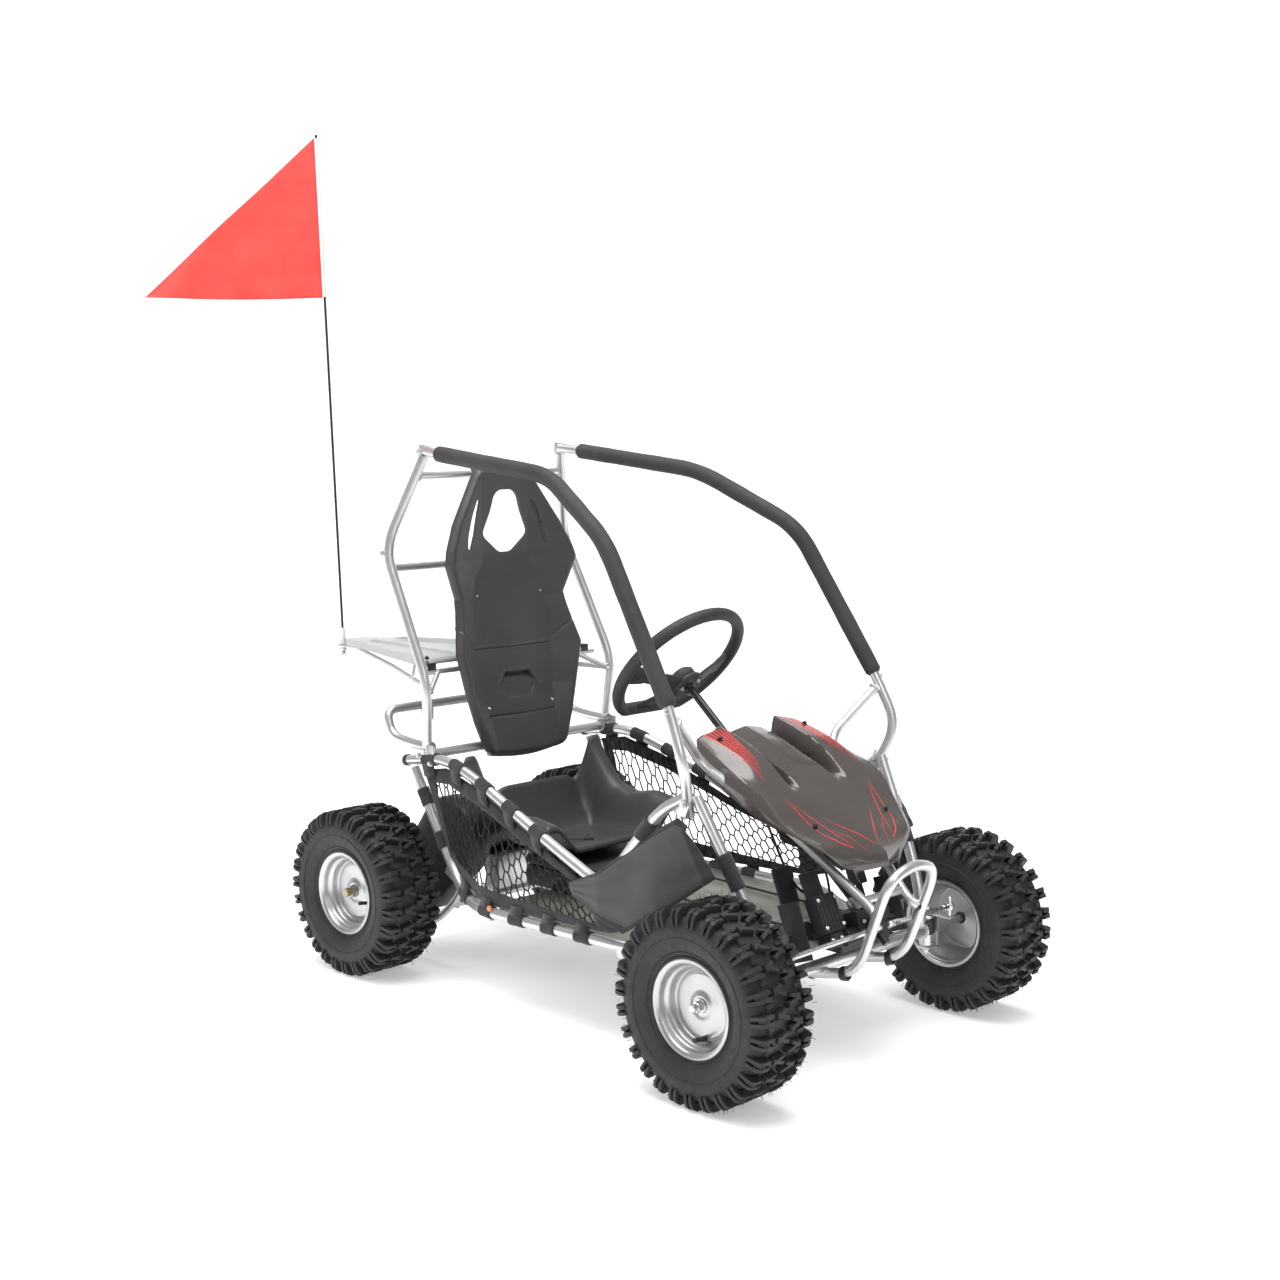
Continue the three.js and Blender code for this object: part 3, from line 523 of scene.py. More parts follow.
welds = Shape()
for _, s in SIDES:
    for centre, axis, radius in (
        ((-0.916, s * 0.262, 0.498), (0, 0, 1), 0.0115),
        ((-1.038, s * 0.255, 0.873), (0, 1, 0), 0.009),
        ((-1.003, s * 0.205, 1.070), (0, 1, 0), 0.009),
        ((-0.917, s * 0.252, 0.484), (0, 1, 0), 0.011),
        ((-0.905, s * 0.262, 0.500), (1, 0, 0), 0.011),
        ((-0.146, s * 0.286, 0.508), (1, 0.3 * s, 0.4), 0.0118),
        ((-0.138, s * 0.280, 0.505), (-0.5, 0.1 * s, 0.8), 0.0118),
        ((0.004, s * 0.234, 0.194), (0, 0, 1), 0.0118),
        ((-0.020, s * 0.216, 0.182), (1, 0, 0), 0.0118),
        ((-0.164, s * 0.296, 0.646), (-0.2, -0.5 * s, -0.5), 0.0098),
        ((-0.686, s * 0.288, 0.185), (0, 1, 0), 0.0105),
        ((-0.303, s * 0.288, 0.189), (0, 1, 0), 0.0105),
        ((-0.018, s * 0.070, 0.163), (1, 0, 0), 0.0105),
    ):
        bead(welds, centre, axis, radius)
welds.make("weld_beads", WELD, slot="zinc_tube")

rail_caps = Shape()
for _, s in SIDES:
    rail_caps.add(*disc(0.0126, 0.018, (-0.981, s * 0.264, 0.4645), (1, 0, 0.15), 24, 0.004))
    rail_caps.add(*disc(0.0095, 0.010, (0.121, s * 0.0665, 0.289), (0.6, 0.4 * s, -0.6), 20, 0.003))
    rail_caps.add(*disc(0.0118, 0.014, (-0.022, s * 0.070, 0.160), (1, 0, 0), 24, 0.003))
rail_caps.make("tube_caps", PLASTIC, slot="moulded_plastic")

clamps = Shape()
for _, s in SIDES:
    clamps.add(
        *lathe(
            [(0.0100, -0.006), (0.0135, -0.006), (0.0140, 0.0), (0.0135, 0.006), (0.0100, 0.006)],
            (0.055, s * 0.070, 0.175), (1, 0, 0.15), 28,
        )
    )
clamps.make("bumper_clamps", PLASTIC, slot="moulded_plastic")

frame_bolts = Shape()
for _, s in SIDES:
    for centre, axis in (
        ((-0.916, s * 0.285, 0.486), (0, s, 0)),
        ((-1.046, s * 0.272, 0.905), (0, s, 0)),
        ((-0.139, s * 0.304, 0.500), (0.3, s, 0)),
        ((-0.168, s * 0.317, 0.668), (0, s, 0)),
        ((-0.890, s * 0.276, 0.470), (0, s, 0)),
        ((0.004, s * 0.246, 0.205), (0, s, 0)),
        ((-1.051, s * 0.150, 0.542), (1, 0, 0)),
    ):
        bolt(frame_bolts, centre, axis, 0.0062)
frame_bolts.make("frame_bolts", BOLT, slot="steel")

# brackets on the frame: bolted tabs at the hoop, the rear legs and the post feet
brackets = Shape()
for _, s in SIDES:
    brackets.add(*block((0.034, 0.004, 0.044), (-0.902, s * 0.270, 0.486)))
    brackets.add(*block((0.050, 0.004, 0.036), (-0.846, s * 0.252, 0.238), pitch=0.5))
    brackets.add(*block((0.040, 0.040, 0.004), (-0.012, s * 0.226, 0.196)))
    brackets.add(*block((0.030, 0.004, 0.030), (-0.148, s * 0.297, 0.490), pitch=0.4))
    brackets.add(*block((0.004, 0.034, 0.034), (-1.054, s * 0.150, 0.546)))
brackets.make("frame_brackets", ZINC, slot="zinc_tube")

# ---------------------------------------------------------------- rear guard and axle carriers
guard = Shape()
guard.add(*tube(loop(GUARD_HALF), 0.008, 0.04))
guard.add(*tube([(-0.905, -0.206, 0.150), (-0.905, 0.206, 0.150)], 0.008))
guard.add(*block((0.046, 0.090, 0.084), (-0.928, -0.030, 0.192), edge=0.004))
guard.add(*block((0.050, 0.004, 0.100), (-0.928, 0.018, 0.196), edge=0.001))
for _, s in SIDES:
    bead(guard, (-0.905, s * 0.196, 0.150), (0, 1, 0), 0.0085)
guard.make("rear_guard", ZINC, instead=["rear_subframe"], slot="zinc_tube")

for name, s in SIDES:
    carrier = Shape()
    carrier.add(*block((0.064, 0.008, 0.120), (REAR_X, s * 0.200, 0.158), edge=0.003))
    carrier.add(*lathe(collar(0.013, 0.024, 0.027, 0.012, 0.008), (REAR_X, s * 0.200, AXLE_Z)))
    for dx in (-0.024, 0.024):
        for dz in (-0.035, 0.026):
            bolt(carrier, (REAR_X + dx, s * 0.205, AXLE_Z + dz - 0.012), (0, s, 0), 0.006)
    carrier.make(f"axle_carrier_{name}", ZINC, instead=[f"bearing_carrier_{name}"], slot="zinc_tube")

# ---------------------------------------------------------------- foam sleeves
for name, s in SIDES:
    line = rounded(
        mirrored(
            [(-0.938, 0.207, 1.118), (-0.581, 0.219, 1.081), (-0.360, 0.283, 0.966), (-0.172, 0.307, 0.675)],
            s,
        ),
        0.055, 12,
    )
    run = run_along(line)
    even = np.linspace(0, run[-1], 150)
    line = at_runs(line, run, even)
    swell = 1 + 0.012 * np.sin(even * 31) + 0.010 * np.sin(even * 83 + s)
    round_off = np.minimum(1, np.minimum(even, run[-1] - even) / 0.007 + 0.72)
    sleeve = Shape().add(*sweep(line, ring(0.0168, 24), scale=swell * round_off))
    sleeve_piece = sleeve.make(f"foam_{name}", FOAM, instead=[f"foam_sleeve_{name}"], slot="foam")


# ---------------------------------------------------------------- wheels
TREAD = 27


def tyre_shape():
    """The carcass and its lugs about the y axis at the origin."""
    shape = Shape()
    carcass = [
        (0.0775, 0.0500), (0.0800, 0.0545), (0.0880, 0.0560), (0.0925, 0.0580), (0.0945, 0.0560),
        (0.1050, 0.0625),
        (0.1180, 0.0680), (0.1320, 0.0705), (0.1440, 0.0700), (0.1550, 0.0655), (0.1620, 0.0570),
        (0.1655, 0.0400),
        (0.1668, 0.0200), (0.1672, 0.0),
    ]
    profile = carcass + [(r, -y) for r, y in carcass[-2::-1]]
    shape.add(*lathe(profile, (0, 0, 0), segments=108))
    pitch = 2 * math.pi / TREAD

    def lug(sections):
        """A solid through polygon sections, each a list of (radius, y) at its own arc angle."""
        k = len(sections[0][1])
        points = []
        for angle, polygon in sections:
            points += [(r * math.cos(angle), y, r * math.sin(angle)) for r, y in polygon]
        ends = [list(range(k))[::-1], [(len(sections) - 1) * k + j for j in range(k)]]
        shape.add(points, walls(k, len(sections)) + ends)

    def prism(centre, footprint, low, high, shrink=0.86):
        """A block on the crown from a footprint of (arc mm, y mm) corners."""
        k = len(footprint)
        middle = np.mean(footprint, 0)
        points = []
        for radius, size in ((low, 1.12), (high - 0.0016, 1.0), (high, shrink)):
            for arc, y in np.asarray(footprint, float):
                arc, y = middle + (np.array([arc, y]) - middle) * size
                angle = centre + arc / 1000 / high
                points.append((radius * math.cos(angle), y / 1000, radius * math.sin(angle)))
        shape.add(points, walls(k, 3) + [[2 * k + j for j in range(k)]])

    for n in range(TREAD):
        for s in (-1, 1):
            base = (n + (0.5 if s > 0 else 0)) * pitch
            # centre lug: two bars that meet in a V, with a foot
            prism(base, [(-11, s * 2), (-3, s * 1), (7, s * 25), (-1, s * 27)], 0.1655, 0.1797)
            prism(base, [(7, s * 6), (13, s * 9), (7, s * 25), (1, s * 22)], 0.1655, 0.1797)
            prism(base, [(-3, s * 25), (7, s * 24), (9, s * 31), (-4, s * 32)], 0.1655, 0.1790)
            # shoulder lug: two prongs that run down the side, bridged on the crown
            for arc in (-8.0, 5.0):
                angle = base + arc / 180
                outer = [
                    (0.1640, s * 0.040), (0.1785, s * 0.040), (0.1785, s * 0.058), (0.1742, s * 0.0668),
                    (0.1640, s * 0.0712), (0.1510, s * 0.0728), (0.1475, s * 0.0692), (0.1570, s * 0.0620),
                ]
                half = 3.5 / 180
                lug([(angle - half, outer), (angle + half, outer)])
            web = [
                (0.1600, s * 0.056), (0.1775, s * 0.056), (0.1760, s * 0.0615), (0.1690, s * 0.0660),
                (0.1640, s * 0.0670), (0.1600, s * 0.0620),
            ]
            lug([(base - 8.0 / 180, web), (base + 5.0 / 180, web)])
            prism(base, [(-12, s * 41), (-4, s * 40), (-2, s * 57), (-11, s * 60)], 0.1640, 0.1795)
            prism(base, [(-4, s * 52), (6, s * 52), (6, s * 59), (-4, s * 59)], 0.1600, 0.1780)
            prism(base, [(4, s * 42), (10, s * 44), (10, s * 60), (4, s * 60)], 0.1640, 0.1790)
            # tie bar between pitches on the carcass
            prism(base + pitch / 2, [(-4, s * 30), (4, s * 30), (5, s * 46), (-5, s * 46)], 0.1640, 0.1695)
    # fine rings moulded round the side wall
    for s in (-1, 1):
        for radius, y in ((0.100, 0.0605), (0.126, 0.0698)):
            shape.add(
                *lathe(
                    [
                        (radius, s * y), (radius + 0.0012, s * (y + 0.0013)),
                        (radius + 0.0024, s * (y + 0.0004)),
                    ],
                    (0, 0, 0), segments=90,
                )
            )
    return shape


def hair_shape():
    """The thin rubber vent hairs that stand on the lugs."""
    shape = Shape()
    spots = turn.random((TREAD * 9, 3))
    for n, (a, b, c) in enumerate(spots):
        s = 1 if n % 2 else -1
        angle = (n / (TREAD * 9) + 0.002 * a) * 2 * math.pi
        y = s * (0.030 + 0.030 * b)
        out = np.array([math.cos(angle), 0, math.sin(angle)])
        root = out * 0.1775 + (0, y, 0)
        lean = np.array([0.3 * (a - 0.5), s * 0.35 * c, 0.3 * (c - 0.5)])
        tip = root + (out + lean) * (0.006 + 0.005 * c)
        shape.add(*sweep([root, (root + tip) / 2, tip], ring(0.0005, 3)))
    return shape


def rim_shape(s):
    """A pressed steel rim with a deep dished disc; s is the outer side."""
    outside = [
        (0.0790, 0.0440), (0.0800, 0.0520), (0.0850, 0.0545), (0.0890, 0.0560), (0.0893, 0.0580),
        (0.0875, 0.0592),
        (0.0840, 0.0585), (0.0800, 0.0560), (0.0778, 0.0520), (0.0765, 0.0450), (0.0745, 0.0410),
        (0.0715, 0.0395),
        (0.0690, 0.0370), (0.0680, 0.0330), (0.0678, 0.0280), (0.0660, 0.0235), (0.0635, 0.0222),
        (0.0615, 0.0235),
        (0.0590, 0.0262), (0.0540, 0.0268), (0.0420, 0.0262), (0.0300, 0.0260), (0.0230, 0.0268),
        (0.0200, 0.0300),
        (0.0165, 0.0305), (0.0125, 0.0300), (0.0125, 0.0060), (0.0600, 0.0200), (0.0650, 0.0180),
        (0.0660, 0.0100),
    ]
    back = [
        (0.0660, -0.0240), (0.0740, -0.0340), (0.0765, -0.0450), (0.0780, -0.0520), (0.0840, -0.0575),
        (0.0885, -0.0575),
        (0.0893, -0.0560), (0.0880, -0.0545), (0.0810, -0.0530), (0.0790, -0.0440), (0.0770, -0.0350),
        (0.0690, -0.0260),
        (0.0690, 0.0180), (0.0740, 0.0330),
    ]
    shape = Shape()
    shape.add(*lathe([(r, s * y) for r, y in outside + back], (0, 0, 0), segments=96))
    return shape


def hub_shape(s, rear):
    shape = Shape()
    shape.add(*disc(0.0135, 0.003, (0, s * 0.0315, 0), (0, 1, 0), 32, 0.001))
    shape.add(*disc(0.0105, 0.011, (0, s * 0.038, 0), (0, 1, 0), 6, 0.0012))
    shape.add(*disc(0.0068 if not rear else 0.009, 0.012, (0, s * 0.048, 0), (0, 1, 0), 24, 0.0012))
    return shape


def valve_shape(s):
    shape = Shape()
    at = np.array([0.022, 0, -0.0535])
    axis = (0.05, s * 1.0, 0.2)
    shape.add(*disc(0.0052, 0.012, at + (0, s * 0.030, 0.0), axis, 20, 0.0015))
    shape.add(*disc(0.0038, 0.020, at + (0.0005, s * 0.043, 0.002), axis, 18, 0.001))
    shape.add(*disc(0.0044, 0.008, at + (0.001, s * 0.054, 0.004), axis, 10, 0.001))
    return shape


def shifted(shape, centre, spin=0.0):
    c, d = math.cos(spin), math.sin(spin)
    spun = np.array([[c, 0, d], [0, 1, 0], [-d, 0, c]])
    out = Shape()
    out.faces, out.count = shape.faces, shape.count
    out.points = [np.concatenate(shape.points) @ spun.T + np.asarray(centre, float)]
    return out


tread, hairs = tyre_shape(), hair_shape()
for n, (end, x, wheel_y) in enumerate((("front", 0.0, 0.3755), ("rear", REAR_X, 0.3265))):
    for m, (name, s) in enumerate(SIDES):
        body = "rear_axle" if end == "rear" else f"wheel_front_{name}"
        centre = (x, s * wheel_y, AXLE_Z)
        spin = 0.35 + 0.9 * n + 0.5 * m
        shifted(tread, centre, spin).make(
            f"tyre_tread_{end}_{name}", TYRE, body, [f"tyre_{end}_{name}"], "tyre_rubber", 30,
        )
        standing = shifted(hairs, centre, spin)
        standing.points[0][:, 2] = np.maximum(standing.points[0][:, 2], 0.0004)
        standing.make(f"tyre_hairs_{end}_{name}", TYRE, body, slot="tyre_rubber", sharp=None)
        shifted(rim_shape(s), centre).make(
            f"rim_steel_{end}_{name}", RIM, body, [f"rim_{end}_{name}"], "steel", 42,
        )
        shifted(hub_shape(s, end == "rear"), centre).make(
            f"hub_nut_{end}_{name}", YELLOW if end == "rear" else BOLT, body, slot="steel"
        )
        shifted(valve_shape(s), centre, 0.25 if end == "front" else -0.9).make(
            f"valve_{end}_{name}", PLASTIC, body, slot="moulded_plastic",
        )

# ---------------------------------------------------------------- steering
TILT = math.radians(40.6)
HUB = np.array([-0.404, 0, 0.655])
DOWN = np.array([math.cos(TILT), 0, -math.sin(TILT)])
UP = np.array([math.sin(TILT), 0, math.cos(TILT)])
LEFT = np.array([0, 1.0, 0])


def on_column(along, up=0.0, y=0.0):
    return HUB + DOWN * along + UP * up + LEFT * y


column = Shape()
column.add(*sweep([on_column(-0.035), on_column(0.660)], ring(0.008, 20)))
column.add(*disc(0.011, 0.030, on_column(-0.010), DOWN, 24, 0.002))
column.add(
    *sweep(
        [on_column(0.6195, 0.0), on_column(0.6245, 0.0)],
        [(-0.010, -0.028), (0.032, -0.028), (0.034, 0.0), (0.032, 0.028), (-0.010, 0.028)], up=UP,
    )
)
column.make("column_rod", PAINT, "steering", ["steering_column"], "black_paint")

CENTRE = on_column(-0.050, 0.013)


def in_wheel(a, b, c=0.0):
    """a to the driver's left, b up the wheel's face, c towards the driver."""
    return CENTRE + LEFT * a + UP * b - DOWN * c


wheel = Shape()
rim_line = []
for angle in np.linspace(0, 2 * math.pi, 121)[:-1]:
    a, b = 0.145 * math.cos(angle), 0.145 * math.sin(angle)
    floor = -0.122
    soft = floor - 0.006 if b < floor - 0.006 else b
    blend = min(1.0, max(0.0, (floor + 0.020 - b) / 0.026))
    rim_line.append(in_wheel(a, b * (1 - blend) + max(soft, floor) * blend if b < floor + 0.020 else b))
wheel.add(*sweep(rim_line, ring(0.0135, 20, 0.92), closed=True))
for a, b in ((-1, -4), (1, -4)):
    angle = math.radians(b if a > 0 else 180 - b)
    outer = in_wheel(0.136 * math.cos(angle), 0.136 * math.sin(angle), 0.0)
    middle = in_wheel(0.080 * math.cos(angle), 0.080 * math.sin(angle) - 0.004, -0.018)
    inner = in_wheel(0.018 * a, -0.013, -0.043)
    line = rounded([outer, middle, inner], 0.03, 6)
    width = np.interp(np.linspace(0, 1, len(line)), [0, 0.25, 0.6, 1], [1.35, 0.8, 0.85, 1.1])
    wheel.add(*sweep(line, flat_bar(0.019, 0.0045), scale=width, up=UP))
for a in (-0.024, 0.024):
    line = rounded(
        [
            in_wheel(a * 1.5, -0.118, 0.0), in_wheel(a * 1.1, -0.070, -0.020),
            in_wheel(a * 0.6, -0.020, -0.043),
        ],
        0.03, 6,
    )
    wheel.add(*sweep(line, flat_bar(0.015, 0.004), up=LEFT))
hub_at = in_wheel(0, -0.013, -0.044)
wheel.add(*disc(0.034, 0.012, hub_at, DOWN, 40, 0.003))
wheel.add(
    *lathe(
        [(0.0001, 0.0), (0.024, 0.0), (0.028, -0.006), (0.028, -0.020), (0.022, -0.026), (0.0001, -0.028)],
        hub_at - DOWN * 0.004, DOWN, 40, closed=False,
    )
)
wheel.make("wheel_moulding", GRIP, "steering", ["steering_wheel"], "moulded_plastic", 45)
wheel_bolts = Shape()
for n in range(3):
    angle = n * 2 * math.pi / 3 + 0.5
    bolt(
        wheel_bolts, hub_at + DOWN * 0.007 + UP * 0.022 * math.cos(angle) + LEFT * 0.022 * math.sin(angle),
        DOWN, 0.0042,
    )
wheel_bolts.make("wheel_bolts", BOLT, "steering", slot="steel")


def bush(place_at, bar, half, name):
    shape = Shape()
    centre = on_column(place_at)
    shape.add(*lathe(collar(0.0088, 0.0150, 0.0160, 0.014, 0.011), centre, DOWN, 36))
    bar = np.array([bar[0], 0, bar[1]])
    shape.add(*tube([(bar[0], -half, bar[2]), (bar[0], half, bar[2])], 0.008))
    way = bar - centre
    reach = np.linalg.norm(way)
    start = centre + way / reach * 0.013
    shape.add(
        *sweep(
            [start, bar], [(-0.0025, -0.013), (0.0025, -0.013), (0.0025, 0.013), (-0.0025, 0.013)],
            up=np.cross(way / reach, LEFT),
        )
    )
    for y in (-0.008, 0.008):
        bolt(
            shape, (start + bar) / 2 + (0, y, 0) - np.cross(way / reach, LEFT) * 0.003,
            -np.cross(way / reach, LEFT), 0.004,
        )
    shape.make(f"{name}_bush", ZINC, instead=[name], slot="zinc_tube")


bush(0.322, (-0.120, 0.492), 0.148, "dash_bar")
bush(0.566, (0.086, 0.316), 0.062, "column_support")

ARM = 0.055
BALL_Z = 0.238
TAB = ARM * math.sin(math.radians(15)) / math.sin(math.radians(45))
for name, s in SIDES:
    knuckle = Shape()
    pin = s * 0.262
    for z in (AXLE_Z - 0.036, AXLE_Z + 0.036):
        knuckle.add(*block((0.030, 0.036, 0.006), (0, pin + s * 0.007, z)))
        bolt(
            knuckle, (0, pin, z + (0.004 if z > AXLE_Z else -0.004)), (0, 0, 1 if z > AXLE_Z else -1), 0.0085,
        )
    knuckle.add(*block((0.030, 0.008, 0.078), (0, pin + s * 0.021, AXLE_Z)))
    knuckle.add(*block((ARM + 0.016, 0.016, 0.006), (ARM / 2, pin, AXLE_Z + 0.036)))
    knuckle.add(*sweep([(0, pin + s * 0.020, AXLE_Z), (0, s * 0.4175, AXLE_Z)], ring(0.008, 20)))
    bead(knuckle, (0, pin + s * 0.0255, AXLE_Z), (0, 1, 0), 0.0092)
    knuckle.add(
        *lathe(
            [(0.0085, 0.0), (0.012, 0.0), (0.012, 0.030), (0.0085, 0.030)], (0, s * 0.292, AXLE_Z), (0, s, 0),
            24,
        )
    )
    knuckle.add(*sweep([(ARM, pin, AXLE_Z + 0.034), (ARM, pin, BALL_Z - 0.004)], ring(0.005, 14)))
    knuckle.make(f"knuckle_{name}", ZINC, f"knuckle_{name}", [f"steering_knuckle_{name}"], "zinc_tube")

    rod_shape = Shape()
    inner = on_column(0.622 + 0.012, TAB, s * 0.019)
    outer = np.array([ARM, pin, BALL_Z])
    way = (inner - outer) / np.linalg.norm(inner - outer)
    rod_shape.add(*sweep([outer + way * 0.030, inner - way * 0.022], ring(0.0052, 16)))
    for end, sign in ((outer, 1), (inner, -1)):
        rod_shape.add(*disc(0.0062, 0.020, end + way * sign * 0.020, way, 6, 0.001))
        rod_shape.add(*disc(0.0058, 0.006, end + way * sign * 0.034, way, 6, 0.001))
    rod_shape.add(*lathe(collar(0.0001, 0.006, 0.0095, 0.009, 0.004), outer, (0, 0, 1), 24, closed=False))
    rod_shape.add(*lathe(collar(0.0001, 0.006, 0.0080, 0.0055, 0.003), inner, DOWN, 24, closed=False))
    rod_shape.add(*disc(0.0035, 0.012, outer + (0, 0, 0.013), (0, 0, 1), 12))
    rod_shape.make(f"track_rod_{name}", BOLT, f"tie_rod_{name}", [f"tie_rod_{name}"], "zinc_tube")

# ---------------------------------------------------------------- seat
SEAT_WIDTH = [
    (0.466, 0.098), (0.480, 0.114), (0.540, 0.138), (0.600, 0.156), (0.690, 0.178), (0.735, 0.166),
    (0.775, 0.156), (0.805, 0.152), (0.880, 0.185), (0.905, 0.178), (0.960, 0.150), (1.030, 0.102),
    (1.062, 0.080), (1.078, 0.066),
]
SEAT_FORWARD = [
    (0.466, 0.0), (0.600, 0.004), (0.690, 0.008), (0.760, -0.006), (0.800, -0.013), (0.885, 0.006),
    (0.960, -0.003), (1.078, -0.012),
]
SEAT_DEPTH = [(0.466, 0.004), (0.500, 0.008), (0.600, 0.030), (0.900, 0.034), (0.960, 0.026), (1.078, 0.010)]
CREASE = [
    (0.466, 0.086), (0.600, 0.104), (0.690, 0.112), (0.800, 0.108), (0.850, 0.092), (0.885, 0.062),
    (0.930, 0.068), (1.078, 0.070),
]
HEAD_HOLE = [
    (0.0, 1.037), (0.020, 1.036), (0.034, 1.024), (0.044, 0.990), (0.065, 0.945), (0.062, 0.934),
    (0.018, 0.899), (0.0, 0.894),
]
SLIT = [
    (0.074, 1.016), (0.083, 0.985), (0.094, 0.942), (0.110, 0.906), (0.121, 0.912), (0.119, 0.935),
    (0.101, 0.985), (0.084, 1.016),
]


def soft_step(value, edge, width):
    t = np.clip((value - edge) / width + 0.5, 0, 1)
    return t * t * (3 - 2 * t)


def ramped(t, round_off):
    """0 below zero and t above it, with a rounded corner."""
    return 0.5 * (t + math.sqrt(t * t + round_off * round_off)) - 0.5 * round_off


def seat_back(u, v):
    """The moulded back: u from side to side, v from the foot to the head."""
    z = 0.466 + 0.612 * v
    across = 2 * u - 1
    half = level(SEAT_WIDTH, z)
    y = across * half
    far = abs(y)
    crease = level(CREASE, z)
    wing = min(1.0, max(0.0, ramped((far - crease) / (half - crease), 0.07) / 0.97))
    x = -0.885 - (z - 0.480) * 0.112 - (1 - wing) * level(SEAT_DEPTH, z) + wing * level(SEAT_FORWARD, z)
    x += 0.006 * math.exp(-((far / 0.06) ** 2)) * soft_step(0.86 - z, 0.0, 0.1)
    for line in (0.691, 0.545):
        x -= 0.0040 * math.exp(-(((z - line) / 0.0030) ** 2)) * soft_step(crease + 0.004 - far, 0.0, 0.006)
    hold = max(far - 0.056 + abs(z - 0.609) * 0.72, 0.6 * (z - 0.637), 0.6 * (0.579 - z))
    inside = soft_step(-hold, 0.0, 0.004)
    x -= inside * (0.003 + 0.010 * soft_step(z, 0.622, 0.018))
    fold = abs(far - 0.112 - (z - 0.700) * 1.3)
    x -= (
        0.0026
        * math.exp(-((fold / 0.0035) ** 2))
        * soft_step(far, 0.114, 0.006)
        * soft_step(0.745 - z, 0.0, 0.006)
    )
    edge = max(0.0, abs(across) - 0.95) / 0.05
    x -= 0.016 * edge * edge
    end = max(0.0, abs(v - 0.5) - 0.482) / 0.018
    x -= 0.014 * end * end
    if s_far := side_groove(y, z):
        x -= 0.004 * s_far
    return (x, y, z + 0.010 * (1 - across * across) * (1 if v > 0.5 else -0.8) * (abs(v - 0.5) * 2) ** 8)


def side_groove(y, z):
    """The far slit's recess, which is closed."""
    middle = np.interp(z, [0.909, 0.942, 0.985, 1.014], [0.116, 0.107, 0.092, 0.079])
    return (
        soft_step(0.006 - abs(y - middle), 0.0, 0.004)
        * soft_step(z, 0.912, 0.008)
        * soft_step(1.012 - z, 0.0, 0.008)
    )


def baked(piece):
    """Writes a piece's modifiers into its mesh."""
    bpy.context.view_layer.update()
    data = bpy.data.meshes.new_from_object(piece.evaluated_get(bpy.context.evaluated_depsgraph_get()))
    piece.modifiers.clear()
    piece.data = data


def cut_through(piece, outlines):
    """Cuts prisms along x, from outlines of (y, z), out of a solid piece."""
    cutters = []
    for outline in outlines:
        k = len(outline)
        points = [(x, y, z) for x in (-1.2, -0.6) for y, z in outline]
        faces = [list(range(k))[::-1], [k + j for j in range(k)]] + walls(k, 2)
        data = bpy.data.meshes.new("cutter")
        data.from_pydata(place(points).tolist(), [], faces)
        grid = bmesh.new()
        grid.from_mesh(data)
        bmesh.ops.recalc_face_normals(grid, faces=grid.faces)
        grid.to_mesh(data)
        grid.free()
        cutter = bpy.data.objects.new("cutter", data)
        scene.collection.objects.link(cutter)
        cut = piece.modifiers.new("cut", "BOOLEAN")
        cut.object, cut.operation, cut.solver = cutter, "DIFFERENCE", "EXACT"
        cutters.append(cutter)
    baked(piece)
    for cutter in cutters:
        bpy.data.objects.remove(cutter)


def rounded_outline(corners, bend=0.010):
    line = np.array([(0.0, y, z) for y, z in corners])
    line = np.vstack([(line[-1] + line[0]) / 2, line, (line[-1] + line[0]) / 2])
    return [(p[1], p[2]) for p in rounded(line, bend, 5)[:-1]]


back_piece = Shape().add(*grid_piece(seat_back, 150, 230)).make(
    "seat_back_shell", SEAT, instead=["seat_back"], slot="moulded_plastic", sharp=55,
)
thicken(back_piece, 0.006, 1.0)
hole = rounded_outline(HEAD_HOLE[1:-1] + [(-y, z) for y, z in HEAD_HOLE[1:-1]][::-1], 0.009)
cut_through(back_piece, [hole, rounded_outline([(-y, z) for y, z in SLIT], 0.004)])
seat_bolts = Shape()
for y in (-0.093, 0.093):
    for z in (0.563, 0.807):
        x = -0.885 - (z - 0.480) * 0.112 - level(SEAT_DEPTH, z)
        bolt(seat_bolts, (x + 0.002, y, z), (1, 0, 0.11), 0.0052)
seat_bolts.make("seat_bolts", BOLT, slot="steel")


def seat_pan(u, v):
    """The moulded pan: u from the back wall forward, v from side to side."""
    across = 2 * v - 1
    far = abs(across)
    back_wall = 0.110 * max(0.0, 1 - u / 0.26) ** 1.7
    side = (
        soft_step(far, 0.70, 0.34)
        * (0.172 - 0.118 * u**0.62)
        * (1 - 0.25 * soft_step(u, 0.20, 0.30) * soft_step(0.62, u, 0.3))
    )
    z = 0.288 + math.sqrt(back_wall**2 * (1 - 0.5 * soft_step(far, 0.72, 0.2)) + side**2) + 0.022 * u * u
    notch = soft_step(0.10 - u, 0.0, 0.10) * math.exp(-(((far - 0.60) / 0.10) ** 2))
    z -= 0.012 * notch
    z -= 0.010 * math.exp(-(((u - 0.52) / 0.22) ** 2) - (across / 0.42) ** 2)
    lip = max(0.0, far - 0.95) / 0.05
    z -= 0.014 * lip * lip + 0.012 * (max(0.0, u - 0.96) / 0.04) ** 2
    z -= 0.0022 * math.exp(-(((far - 0.58 + 0.22 * u) / 0.012) ** 2)) * soft_step(u, 0.22, 0.05)
    z -= 0.0020 * math.exp(-(((far - 0.86) / 0.010) ** 2)) * soft_step(u, 0.05, 0.05)
    return (-0.868 + 0.262 * u, across * 0.204, z)


